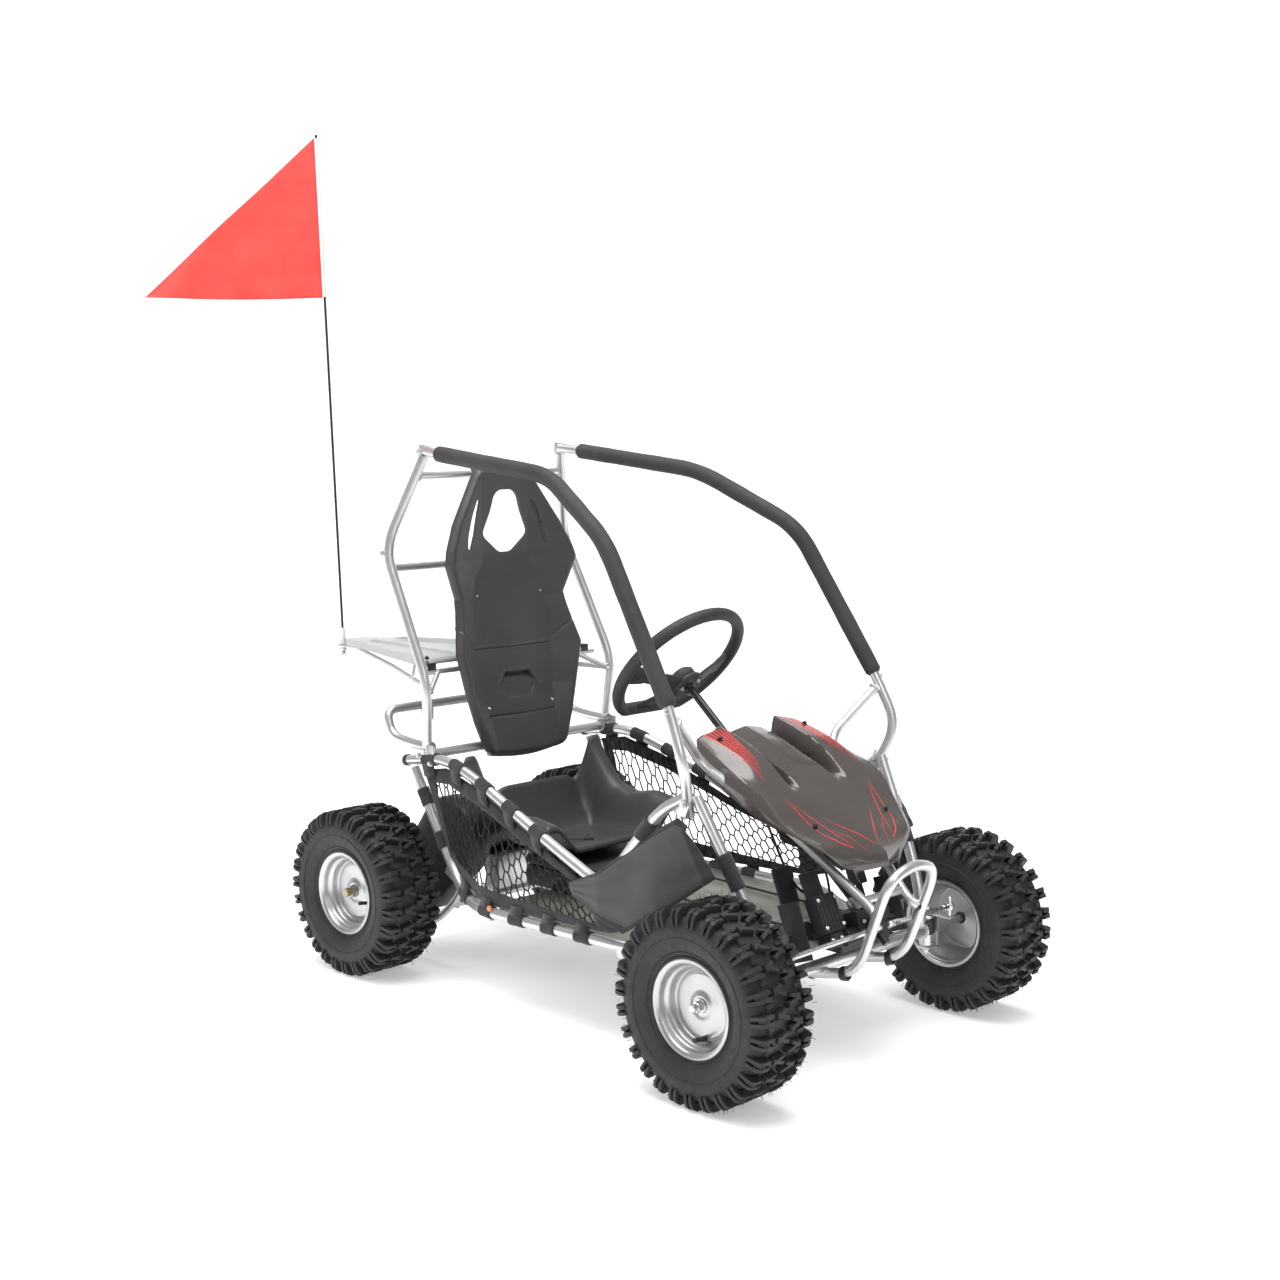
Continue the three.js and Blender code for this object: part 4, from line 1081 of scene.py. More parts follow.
pan = Shape().add(*grid_piece(seat_pan, 70, 96))
pan_piece = pan.make("seat_pan_shell", SEAT, instead=["seat_pan"], slot="moulded_plastic", sharp=60)
thicken(pan_piece, 0.005, -1.0)
pan_bits = Shape()
bolt(pan_bits, (-0.690, 0.0, 0.2915), (0, 0, 1), 0.0065)
for ends in (
    ((-0.735, -0.035), (-0.712, 0.0)), ((-0.735, 0.035), (-0.712, 0.0)), ((-0.712, 0.0), (-0.690, 0.004)),
):
    (x0, y0), (x1, y1) = ends
    pan_bits.add(
        *tube([(x0, y0, 0.2905), ((x0 + x1) / 2, (y0 + y1) / 2, 0.2925), (x1, y1, 0.2910)], 0.0016, 0.01, 8)
    )
pan_bits.make("seat_pan_bits", PLASTIC, slot="moulded_plastic")

# ---------------------------------------------------------------- cowl
COWL_X = [-0.245, -0.205, -0.150, -0.100, -0.050, 0.0, 0.045, 0.077, 0.101]
COWL_MID = [0.594, 0.577, 0.548, 0.523, 0.492, 0.460, 0.431, 0.410, 0.395]
COWL_EAR = [
    (0.150, 0.565), (0.160, 0.555), (0.170, 0.540), (0.177, 0.527), (0.176, 0.500), (0.155, 0.455),
    (0.128, 0.426), (0.094, 0.405), (0.060, 0.389),
]
COWL_LOW = [
    (0.154, 0.528), (0.165, 0.512), (0.176, 0.494), (0.182, 0.476), (0.179, 0.456), (0.162, 0.440),
    (0.130, 0.412), (0.094, 0.383), (0.058, 0.368),
]
(EAR_Y, EAR_Z), (LOW_Y, LOW_Z) = zip(*COWL_EAR), zip(*COWL_LOW)


def smooth_through(xs, ys, x):
    """A Catmull-Rom line through the stations."""
    i = int(np.clip(np.searchsorted(xs, x) - 1, 0, len(xs) - 2))
    t = (x - xs[i]) / (xs[i + 1] - xs[i])
    before = ys[i - 1] if i else 2 * ys[0] - ys[1]
    after = ys[i + 2] if i + 2 < len(ys) else 2 * ys[-1] - ys[-2]
    a, b = ys[i], ys[i + 1]
    return (
        0.5
        * (
            2 * a + (b - before) * t + (
                2 * before - 5 * a + 4 * b - after
            ) * t * t + (3 * a - before - 3 * b + after) * t**3
        )
    )


def cowl(u, v):
    """The front cowl: u from the dash to the nose, v from side to side."""
    across = 2 * v - 1
    far, side = abs(across), math.copysign(1, across)
    x = COWL_X[0] + (COWL_X[-1] - COWL_X[0]) * u
    mid = smooth_through(COWL_X, COWL_MID, x)
    ear_y = smooth_through(COWL_X, EAR_Y, x)
    ear_z = smooth_through(COWL_X, EAR_Z, x)
    low_y = smooth_through(COWL_X, LOW_Y, x)
    low_z = smooth_through(COWL_X, LOW_Z, x)
    if far < 0.80:
        t = far / 0.80
        y = ear_y * t
        z = mid + (ear_z - mid) * t**1.12
        rear = soft_step(-x, 0.095, 0.075)
        hump = soft_step(y, 0.078, 0.014) * soft_step(0.158 - y, 0.0, 0.050)
        z += 0.026 * soft_step(-x, 0.105, 0.110) * hump
        wall = 0.052 + 0.04 * max(0.0, x + 0.22)
        z -= 0.030 * rear * soft_step(y, wall, 0.007) * soft_step(wall + 0.024 - y, 0.0, 0.010)
    else:
        t = (far - 0.80) / 0.20
        bulge = math.sin(math.pi * t) * 0.005
        y = ear_y + (low_y - ear_y) * t + bulge
        z = ear_z + (low_z - ear_z) * t
    if far < 0.80:
        x -= 0.026 * max(0.0, (u - 0.86) / 0.14) * (far / 0.8)
        x += 0.016 * max(0.0, (0.12 - u) / 0.12) * (math.exp(-(((y - 0.118) / 0.03) ** 2)) - 0.6)
    else:
        x -= 0.026 * max(0.0, (u - 0.86) / 0.14) - 0.02 * t * (1 - u)
    if u > 0.975:
        z -= 0.020 * (u - 0.975) / 0.025
    return (x, side * y, z)


def cowl_keep(u, v):
    """False in the two slots beside the middle hump."""
    x = COWL_X[0] + (COWL_X[-1] - COWL_X[0]) * u
    ear_y = smooth_through(COWL_X, EAR_Y, x)
    y = abs(2 * v - 1) / 0.80 * ear_y
    wall = 0.055 + 0.04 * max(0.0, x + 0.22)
    return not (x < -0.098 and wall < y < wall + 0.018 * min(1.0, (-0.098 - x) / 0.05))


cowl_piece = Shape().add(*grid_piece(cowl, 90, 200, cowl_keep)).make(
    "cowl_shell", COWL, instead=["cowl"], slot="gloss_cowl", sharp=50,
)
thicken(cowl_piece, 0.003, -1.0)
bpy.context.view_layer.update()
cowl_tree = BVHTree.FromObject(cowl_piece, bpy.context.evaluated_depsgraph_get())


def on_cowl(x, y):
    """The point and the normal of the cowl's top over (x, y), from the front axle."""
    start = Vector(place((x, y, 0.9)))
    hit, normal, _, _ = cowl_tree.ray_cast(start, Vector((0, 0, -1)), 0.6)
    return (np.array(hit), np.array(normal)) if hit else (None, None)


def stripe(shape, line, widths):
    """A film laid on the cowl along a line of (x, y), its width following `widths`."""
    line = np.asarray(line, float)
    run = run_along(line)
    even = np.linspace(0, run[-1], max(8, int(run[-1] / 0.003)))
    path = at_runs(line, run, even)
    wide = np.interp(even, run[-1] * np.linspace(0, 1, len(widths)), widths)
    way = np.gradient(path, axis=0)
    way /= np.linalg.norm(way, axis=1)[:, None]
    side = np.stack([-way[:, 1], way[:, 0]], 1)
    points, ok = [], []
    for p, d, w in zip(path, side, wide):
        row = [on_cowl(*(p + d * w * f / 2)) for f in (-1, 0, 1)]
        ok.append(all(hit is not None for hit, _ in row))
        for hit, normal in row:
            if hit is None:
                hit, normal = points[-1] if points else np.zeros(3), np.array([0, 0, 1.0])
                points.append(hit)
            else:
                points.append(hit + normal * math.copysign(0.0004, normal[2]))
    faces = [
        [3 * i + j, 3 * i + j + 1, 3 * i + j + 4, 3 * i + j + 3]
        for i in range(len(path) - 1)
        for j in range(2)
        if ok[i] and ok[i + 1]
    ]
    shape.add(points, faces)


stripes = Shape()
for _, s in SIDES:
    for n in range(6):
        t = n / 5
        root = np.array([-0.244 + 0.010 * t, s * (0.134 - 0.046 * t)])
        meet = np.array([-0.086 - 0.040 * t, s * (0.138 - 0.026 * t)])
        stripe(stripes, [root, (root + meet) / 2 + (0, s * 0.003), meet], [0.0038, 0.0034, 0.0024, 0.0005])
    stripe(
        stripes,
        [
            (-0.050, s * 0.127), (-0.028, s * 0.120), (-0.007, s * 0.116), (0.026, s * 0.106),
            (0.052, s * 0.083), (0.064, s * 0.060),
        ],
        [0.0006, 0.0020, 0.0018, 0.0024, 0.0010],
    )
    stripe(
        stripes,
        [
            (-0.044, s * 0.122), (-0.019, s * 0.104), (0.015, s * 0.085), (0.043, s * 0.072),
            (0.064, s * 0.060),
        ],
        [0.0006, 0.0018, 0.0018, 0.0006],
    )
    stripe(
        stripes, [(0.000, s * 0.069), (0.023, s * 0.046), (0.050, s * 0.020), (0.074, s * 0.004)],
        [0.0007, 0.0018, 0.0022, 0.0006],
    )
    stripe(stripes, [(0.020, s * 0.080), (0.045, s * 0.052), (0.074, s * 0.036)], [0.0005, 0.0014, 0.0005])
stripes.make("cowl_stripes", RED, slot="gloss_cowl", sharp=None, moved=False)

cowl_bolts = Shape()
for _, s in SIDES:
    for x, y in ((-0.208, 0.126), (0.009, 0.107)):
        hit, normal = on_cowl(x, s * y)
        if hit is not None:
            bolt(cowl_bolts, hit, normal * math.copysign(1, normal[2]), 0.0055)
cowl_bolts.make("cowl_bolts", PAINT, slot="black_paint", moved=False)

# ---------------------------------------------------------------- floor, battery, pedals
FLOOR_HALF = [(-0.705, 0.272), (-0.300, 0.272), (-0.190, 0.226), (-0.060, 0.208), (0.020, 0.200)]
floor_line = rounded(
    [(-0.705, 0, 0.199), (-0.046, 0, 0.199), (-0.014, 0, 0.210), (-0.014, 0, 0.251)], 0.014, 6,
)
stops = np.concatenate(
    [np.linspace(0, 1, 50)[:, None] * (floor_line[1] - floor_line[0]) + floor_line[0], floor_line[2:]]
)
pan_points, pan_faces = [], []
ACROSS = 60
for x, _, z in stops:
    half = level(FLOOR_HALF, x)
    for k in range(ACROSS + 1):
        y = (2 * k / ACROSS - 1) * half
        rib = (
            0.003
            * sum(math.exp(-(((y - c) / 0.009) ** 4)) for c in (-0.18, -0.09, 0.09, 0.18))
            * soft_step(-x, 0.11, 0.02)
            * soft_step(x, -0.66, 0.02)
        )
        pan_points.append((x, y, z + rib))
for i in range(len(stops) - 1):
    for k in range(ACROSS):
        a = i * (ACROSS + 1) + k
        pan_faces.append([a, a + 1, a + ACROSS + 2, a + ACROSS + 1])
floor_piece = Shape().add(pan_points, pan_faces).make(
    "floor_sheet", FLOOR_SHEET_SHADED, instead=["floor_pan"], slot="grey_sheet", sharp=40,
)
thicken(floor_piece, 0.002, 0.0)

battery = Shape()
battery.add(*block((0.268, 0.228, 0.044), (-0.640, 0, 0.2245), edge=0.006))
battery.add(*block((0.268, 0.228, 0.020), (-0.640, 0, 0.2585), edge=0.006))
battery.add(*block((0.060, 0.020, 0.004), (-0.560, 0.0, 0.2680), edge=0.001))
for y in (-0.080, 0.080):
    battery.add(*block((0.020, 0.012, 0.030), (-0.505, y, 0.240), edge=0.002))
battery.make("battery_case", PLASTIC, instead=["battery_box"], slot="moulded_plastic")

UNIT_LEAN, PEDAL_LEAN = 0.45, 0.38
unit = Shape()
unit.add(*block((0.028, 0.058, 0.072), (0.032, -0.104, 0.290), pitch=-UNIT_LEAN, edge=0.003))
unit.add(*block((0.024, 0.042, 0.034), (0.013, -0.104, 0.258), edge=0.002))
for k in range(5):
    unit.add(
        *block((0.031, 0.0022, 0.066), (0.032, -0.126 + 0.011 * k, 0.290), pitch=-UNIT_LEAN, edge=0.0006)
    )
for k in range(4):
    unit.add(
        *block(
            (0.0295, 0.056, 0.0024),
            (0.032 - 0.43 * (0.020 - 0.014 * k), -0.104, 0.290 + 0.9 * (0.020 - 0.014 * k)), pitch=-UNIT_LEAN,
            edge=0.0006,
        )
    )
unit.add(*block((0.010, 0.030, 0.030), (0.044, -0.090, 0.262), pitch=-UNIT_LEAN, edge=0.002))
unit.make("pedal_unit", PLASTIC, instead=["pedal_housing"], slot="moulded_plastic")
unit_bolts = Shape()
front_of = np.array([math.cos(UNIT_LEAN), 0, math.sin(UNIT_LEAN)])
for y in (-0.128, -0.080):
    for up_by in (-0.026, 0.026):
        bolt(
            unit_bolts,
            np.array([0.032, y, 0.290]) + front_of * 0.0165 + np.array(
                [-math.sin(UNIT_LEAN), 0, math.cos(UNIT_LEAN)]
            ) * up_by,
            front_of, 0.0036,
        )
unit_bolts.make("pedal_unit_bolts", BOLT, slot="steel")

for name, s in (("accelerator", -1), ("brake", 1)):
    y = s * 0.104
    pedal = Shape()
    pedal.add(*block((0.005, 0.016, 0.084), (-0.041, y, 0.272), pitch=-PEDAL_LEAN, edge=0.001))
    pedal.add(*disc(0.0075, 0.022, (-0.026, y, 0.234), (0, 1, 0), 20, 0.001))
    pedal.add(*block((0.006, 0.050, 0.072), (-0.062, y, 0.326), pitch=-PEDAL_LEAN, edge=0.002))
    lie = np.array([-math.sin(PEDAL_LEAN), 0, math.cos(PEDAL_LEAN)])
    out = np.array([-math.cos(PEDAL_LEAN), 0, -math.sin(PEDAL_LEAN)])
    for k in range(7):
        pedal.add(
            *block(
                (0.0022, 0.046, 0.004), np.array([-0.062, y, 0.326]) + lie * (0.009 * (k - 3)) + out * 0.0036,
                pitch=-PEDAL_LEAN, edge=0.0006,
            )
        )
    pedal.make(f"{name}_plate", PLASTIC, name, [f"{name}_pedal"], "moulded_plastic")

# ---------------------------------------------------------------- drive and brake
GEAR_Y = -0.150
MOTOR = np.array([-0.960, 0, 0.285])


def sprocket_shape(radius, teeth, centre, thick=0.004, spokes=0, bore=0.0):
    """A sprocket: a toothed rim, a web with cut-outs and its hub."""
    shape = Shape()
    n = teeth * 8
    outline = []
    for k in range(n):
        phase = (k % 8) / 8
        lift = 0.5 + 0.5 * math.cos(2 * math.pi * phase)
        outline.append(radius - 0.0065 + 0.0065 * lift**0.7)
    inner = bore if bore else 0.004
    rings = [inner, inner + (radius - 0.010 - inner) * 0.5, radius - 0.010]
    points, faces = [], []
    for side in (-thick / 2, thick / 2):
        for k in range(n):
            angle = 2 * math.pi * k / n
            for r in rings + [outline[k]]:
                points.append(np.asarray(centre) + (r * math.cos(angle), side, r * math.sin(angle)))
    w = len(rings) + 1
    half = n * w
    for k in range(n):
        q = (k + 1) % n
        cut = spokes and (k * spokes // n * 2 + (1 if (k * spokes % n) / n > 0.28 else 0)) % 2 == 1
        for r in range(w - 1):
            if cut and r == 1:
                continue
            faces.append([k * w + r, k * w + r + 1, q * w + r + 1, q * w + r])
            faces.append([half + k * w + r, half + q * w + r, half + q * w + r + 1, half + k * w + r + 1])
        faces.append([k * w + w - 1, half + k * w + w - 1, half + q * w + w - 1, q * w + w - 1])
        faces.append([k * w, q * w, half + q * w, half + k * w])
    shape.add(points, faces)
    return shape


axle = Shape().add(*sweep([(REAR_X, -0.3685, AXLE_Z), (REAR_X, 0.3685, AXLE_Z)], ring(0.0122, 24)))
for y in (-0.232, 0.232, 0.178, -0.172, -0.118, 0.118):
    axle.add(*lathe(collar(0.0122, 0.019, 0.020, 0.006, 0.004), (REAR_X, y, AXLE_Z), segments=32))
axle.make("axle_shaft", STEEL, "rear_axle", ["rear_axle"], "steel")
sprocket_shape(0.062, 20, (REAR_X, GEAR_Y, AXLE_Z), spokes=5, bore=0.0126).make(
    "sprocket_teeth", STEEL, "rear_axle", ["driven_sprocket"], "steel", 30,
)
sprocket_shape(0.020, 8, MOTOR + (0, GEAR_Y, 0)).make(
    "motor_sprocket_teeth", STEEL, "motor_shaft", ["motor_sprocket"], "steel", 30,
)

axle_at = np.array([REAR_X, GEAR_Y, AXLE_Z])
motor_at = MOTOR + (0, GEAR_Y, 0)
gap = motor_at - axle_at
span = math.hypot(gap[0], gap[2])
lean_angle = math.atan2(gap[2], gap[0])


def belt(r_big, r_small, count=20):
    """The closed line round both wheels."""
    wrap = math.acos((r_big - r_small) / span)
    out = []
    for t in np.linspace(lean_angle + wrap, lean_angle + 2 * math.pi - wrap, count * 2):
        out.append(axle_at + r_big * np.array([math.cos(t), 0, math.sin(t)]))
    for t in np.linspace(lean_angle - wrap, lean_angle + wrap, count):
        out.append(motor_at + r_small * np.array([math.cos(t), 0, math.sin(t)]))
    return np.array(out)


PITCH_ROUND_AXLE, PITCH_ROUND_MOTOR, CHAIN_PITCH = 0.0625, 0.0215, 0.0127
belt_line = belt(PITCH_ROUND_AXLE, PITCH_ROUND_MOTOR)
closed_line = np.vstack([belt_line, belt_line[:1]])
belt_run = run_along(closed_line)
links = int(belt_run[-1] / CHAIN_PITCH / 2) * 2
chain = Shape()
spots = np.linspace(0, belt_run[-1], links + 1)[:-1]
nodes = at_runs(closed_line, belt_run, spots)
for n in range(links):
    a, b = nodes[n], nodes[(n + 1) % links]
    way = (b - a) / np.linalg.norm(b - a)
    out = np.cross(way, LEFT)
    for y in (-1, 1):
        offset = LEFT * y * (0.0030 if n % 2 else 0.0021)
        outline = []
        for t in np.linspace(0.5 * math.pi, 1.5 * math.pi, 6):
            outline.append(a + (way * math.cos(t) + out * math.sin(t)) * 0.0040)
        outline.append((a + b) / 2 - out * 0.0028)
        for t in np.linspace(-0.5 * math.pi, 0.5 * math.pi, 6):
            outline.append(b + (way * math.cos(t) + out * math.sin(t)) * 0.0040)
        outline.append((a + b) / 2 + out * 0.0028)
        k = len(outline)
        points = [p + offset - LEFT * 0.0004 for p in outline] + [p + offset + LEFT * 0.0004 for p in outline]
        chain.add(points, walls(k, 2) + [list(range(k))[::-1], [k + j for j in range(k)]])
    chain.add(*disc(0.0022, 0.0066, a, (0, 1, 0), 8, 0.0002))
chain.make("chain_links", STEEL, instead=["drive_chain"], slot="steel")

cover = Shape()
COVER_MOTOR = np.array([-0.967, GEAR_Y, 0.280])


def cover_line(r_big, r_small, count=28):
    way = COVER_MOTOR - axle_at
    reach = math.hypot(way[0], way[2])
    lean = math.atan2(way[2], way[0])
    wrap = math.acos((r_big - r_small) / reach)
    out = [
        axle_at + r_big * np.array([math.cos(t), 0, math.sin(t)])
        for t in np.linspace(lean + wrap, lean + 2 * math.pi - wrap, count)
    ]
    out += [
        COVER_MOTOR + r_small * np.array([math.cos(t), 0, math.sin(t)])
        for t in np.linspace(lean - wrap, lean + wrap, count)
    ]
    return np.array(out)


rows = []
for y, inset in (
    (-0.126, 0.0), (-0.140, 0.0), (-0.160, 0.0), (-0.170, 0.002), (-0.1745, 0.006), (-0.1762, 0.012),
    (-0.1765, 0.030),
):
    line = cover_line(0.0785 - inset, 0.0915 - inset)
    line[:, 1] = y
    rows.append(line)
k = len(rows[0])
cover_points = np.vstack(rows)
cover_faces = walls(k, len(rows))
cover_faces.append([(len(rows) - 1) * k + j for j in range(k)][::-1])
cover_faces = [f[::-1] for f in cover_faces]
cover.add(cover_points, cover_faces)
cover_piece = cover.make("chain_guard", PLASTIC, instead=["chain_cover"], slot="moulded_plastic", sharp=50)
thicken(cover_piece, 0.0025, 1.0)

motor = Shape()
profile = [
    (0.0001, -0.120), (0.024, -0.120), (0.044, -0.118), (0.0475, -0.112), (0.0475, -0.096), (0.0455, -0.094),
]
for k in range(9):
    y = -0.090 + 0.0135 * k
    profile += [(0.0455, y), (0.0475, y + 0.002), (0.0475, y + 0.006), (0.0455, y + 0.008)]
profile += [(0.0455, 0.026), (0.0475, 0.028), (0.0475, 0.042), (0.043, 0.049), (0.0001, 0.050)]
motor.add(*lathe(profile, MOTOR, segments=72, closed=False))
motor.add(*block((0.060, 0.120, 0.008), MOTOR + (0, -0.035, -0.050), edge=0.002))
motor.make("motor_case", PAINT, instead=["motor"], slot="black_paint")

brake_disc = Shape()
DISC_RADIUS = 0.065
points, faces = [], []
n = 144
for y in (0.1385, 0.1415):
    for k in range(n):
        angle = 2 * math.pi * k / n
        wave = DISC_RADIUS - 0.0012 * (1 + math.cos(angle * 12))
        for r in (0.0126, 0.034, 0.040, 0.052, 0.0535, wave):
            points.append((REAR_X + r * math.cos(angle), y, AXLE_Z + r * math.sin(angle)))
for k in range(n):
    q = (k + 1) % n
    for r in range(5):
        if r == 1 and k % 24 > 9:
            continue
        if r == 3 and k % 9 in (3, 4):
            continue
        faces.append([k * 6 + r, k * 6 + r + 1, q * 6 + r + 1, q * 6 + r])
        faces.append([n * 6 + k * 6 + r, n * 6 + q * 6 + r, n * 6 + q * 6 + r + 1, n * 6 + k * 6 + r + 1])
    faces.append([k * 6 + 5, n * 6 + k * 6 + 5, n * 6 + q * 6 + 5, q * 6 + 5])
brake_disc.add(points, faces)
brake_disc.make("disc_plate", STEEL, "rear_axle", ["brake_disc"], "steel", 30)

caliper = Shape()
caliper.add(*block((0.042, 0.022, 0.044), (-1.023, 0.1695, 0.226), edge=0.005))
caliper.add(*block((0.042, 0.014, 0.044), (-1.023, 0.1312, 0.226), edge=0.004))
caliper.add(*block((0.020, 0.056, 0.018), (-1.012, 0.153, 0.240), edge=0.004))
for dx in (-0.012, 0.012):
    bolt(caliper, (-1.023 + dx, 0.1805, 0.226), (0, 1, 0), 0.005)
caliper.make("caliper_body", PAINT, instead=["brake_caliper"], slot="black_paint")

# ---------------------------------------------------------------- rear shelf
shelf_frame = Shape()
shelf_frame.add(*tube([(-0.946, -0.256, 0.654), (-0.946, 0.256, 0.654)], 0.006, sides=14))
for _, s in SIDES:
    shelf_frame.add(
        *tube(
            [(-0.908, s * 0.258, 0.622), (-1.200, s * 0.130, 0.632), (-1.484, s * 0.016, 0.638)], 0.006, 0.05,
            14,
        )
    )
    shelf_frame.add(*tube([(-0.908, s * 0.258, 0.622), (-0.946, s * 0.206, 0.654)], 0.006, sides=14))
    shelf_frame.add(*disc(0.009, 0.012, (-0.908, s * 0.262, 0.622), (0, 1, 0), 20, 0.001))
    shelf_frame.add(*tube([(-1.00, s * 0.232, 0.640), (-1.22, s * 0.045, 0.650)], 0.0035, sides=10))
shelf_frame.add(*block((0.092, 0.034, 0.004), (-1.524, 0, 0.638)))
shelf_frame.add(*sweep([(-1.559, 0, 0.624), (-1.559, 0, 0.654)], ring(0.0095, 20)))
shelf_frame.add(*disc(0.0075, 0.007, (-1.559, 0, 0.616), (0, 0, 1), 6, 0.001))
for x in (-1.500, -1.530):
    bolt(shelf_frame, (x, 0, 0.6405), (0, 0, 1), 0.005)
shelf_frame.make("shelf_rods", ZINC, instead=["shelf_frame"], slot="zinc_tube")


def shelf(u, v):
    """The pressed shelf: u from the cage back to the pole, v from side to side."""
    x = -0.964 - 0.541 * u
    half = 0.236 - 0.204 * u
    across = 2 * v - 1
    far = abs(across)
    z = 0.678 - 0.018 * u
    fold = max(0.0, far - 0.90) / 0.10
    y = across * half
    ridge = (
        0.006
        * math.exp(-(((far - 0.52) / 0.035) ** 4))
        * soft_step(0.80 - u, 0.0, 0.08)
        * soft_step(u, 0.08, 0.06)
    )
    panel = (
        -0.004
        * soft_step(0.46 - far, 0.0, 0.03)
        * soft_step(0.72 - u, 0.0, 0.04)
        * soft_step(u, 0.10, 0.04)
    )
    front = max(0.0, (0.02 - u) / 0.02)
    return (x, y, z - 0.013 * fold + ridge + panel - 0.010 * front)


shelf_piece = Shape().add(*grid_piece(shelf, 80, 90)).make(
    "shelf_sheet", PALE, instead=["rear_shelf"], slot="grey_sheet", sharp=40,
)
thicken(shelf_piece, 0.0015, 0.0)
shelf_bits = Shape()
for _, s in SIDES:
    shelf_bits.add(*block((0.040, 0.022, 0.003), (-0.962, s * 0.226, 0.6725), edge=0.0008))
    shelf_bits.add(*block((0.003, 0.022, 0.022), (-0.943, s * 0.226, 0.663), edge=0.0008))
    bolt(shelf_bits, (-0.972, s * 0.216, 0.6795), (0, 0, 1), 0.0055)
shelf_bits.make("shelf_brackets", PAINT, slot="black_paint")

# ---------------------------------------------------------------- flag
POLE_LOW, POLE_TOP = np.array([-1.559, 0, 0.620]), np.array([-1.629, 0, 1.864])
pole = Shape().add(*sweep([POLE_LOW, POLE_TOP], ring(0.003, 12)))
pole.make("pole_rod", FIBRE, "flag", ["flag_pole"], "fibreglass")
along = (POLE_TOP - POLE_LOW) / np.linalg.norm(POLE_TOP - POLE_LOW)
fittings = Shape()
fittings.add(
    *lathe(
        [
            (0.0032, 0.030), (0.0062, 0.030), (0.0066, 0.034), (0.0066, 0.052), (0.0045, 0.060),
            (0.0032, 0.060),
        ],
        POLE_LOW, along, 20,
    )
)
FLAG_TOP, HOIST, FLY = POLE_TOP - along * 0.006, 0.380, 0.430
AWAY = np.array([-0.716, -0.698, 0.0])
AWAY /= np.linalg.norm(AWAY)
fittings.add(
    *lathe(
        [(0.0034, 0.0), (0.0050, 0.0), (0.0050, HOIST - 0.004), (0.0034, HOIST - 0.004)],
        FLAG_TOP - along * (HOIST - 0.002), along, 16,
    )
)
fittings.make("flag_sleeve", WHITE, "flag", slot="flag_cloth")


def flag_surface(u, v):
    """u runs out along the fly, v up the hoist; the top edge falls to the tip."""
    height = HOIST * v * (1 - u)
    base = FLAG_TOP - along * HOIST
    point = base + along * height + AWAY * (0.005 + FLY * u)
    wave = 0.010 * math.sin(5.2 * u + 1.6 * v) * u**0.8 + 0.004 * math.sin(13 * u + 4 * v) * u
    across = np.cross(AWAY, along)
    sag = -0.004 * math.sin(math.pi * u) * (1 - v)
    return tuple(point + across * wave + np.array([0, 0, sag]))


flag_shape = Shape().add(*grid_piece(flag_surface, 60, 40))
flag_piece = flag_shape.make("flag_cloth", CLOTH, "flag", ["flag"], "flag_cloth", None)
thicken(flag_piece, 0.0006, 0.0)

# ---------------------------------------------------------------- side nets, hems, straps and leg panels
GUARD_TOP = [
    (0.0, (-0.925, 0.262, 0.448)), (0.12, (-0.850, 0.264, 0.460)), (0.28, (-0.738, 0.273, 0.432)),
    (0.52, (-0.537, 0.289, 0.354)),
    (0.76, (-0.345, 0.314, 0.292)), (0.82, (-0.300, 0.314, 0.312)), (1.0, (-0.158, 0.308, 0.438)),
]
GUARD_LOW = [
    (0.0, (-0.856, 0.256, 0.286)), (0.12, (-0.806, 0.262, 0.238)), (0.28, (-0.700, 0.298, 0.214)),
    (0.52, (-0.500, 0.300, 0.218)),
    (0.76, (-0.330, 0.303, 0.224)), (0.82, (-0.264, 0.304, 0.243)), (1.0, (-0.084, 0.286, 0.356)),
]


def net_point(u, v, s, lift=0.0):
    """A point of the side net: u from the rear forward, v from the upper rail down."""
    top, low = through(GUARD_TOP, u), through(GUARD_LOW, u)
    point = top * (1 - v) + low * v
    point[1] += 0.006 * math.sin(math.pi * v) * math.sin(math.pi * min(1, u / 0.8)) + lift
    return mirrored(point, s)


def even_line(points, count, bend=0.05):
    line = rounded(points, bend, 8)
    run = run_along(line)
    even = np.linspace(0, run[-1], count)
    return at_runs(line, run, even), run[-1]


def wrap_band(shape, line, start, stop, radius, tail, s, thick=0.0018):
    """A webbing loop round a rail, start to stop metres along its line, with a tail down to the hem."""
    even, whole = even_line(line, 600)
    first, last = int(start / whole * 599), max(int(start / whole * 599) + 2, int(stop / whole * 599))
    part = even[first : last + 1 : 2]
    shape.add(*sweep(part, ring(radius, 20), caps=False, scale=1 + 0.02 * np.sin(np.arange(len(part)))))
    a, b = part[0], part[-1]
    points, faces = [], []
    for k, t in enumerate(np.linspace(0, 1, 5)):
        for edge in (a, b):
            squeeze = (a + b) / 2 + (edge - (a + b) / 2) * (1 - 0.12 * t)
            points.append(squeeze + np.array([0.0, s * (radius * (1 - t) * 0.9 + 0.004 * t), -tail * t]))
    for k in range(4):
        faces.append([2 * k, 2 * k + 1, 2 * k + 3, 2 * k + 2])
    shape.add(points, faces)


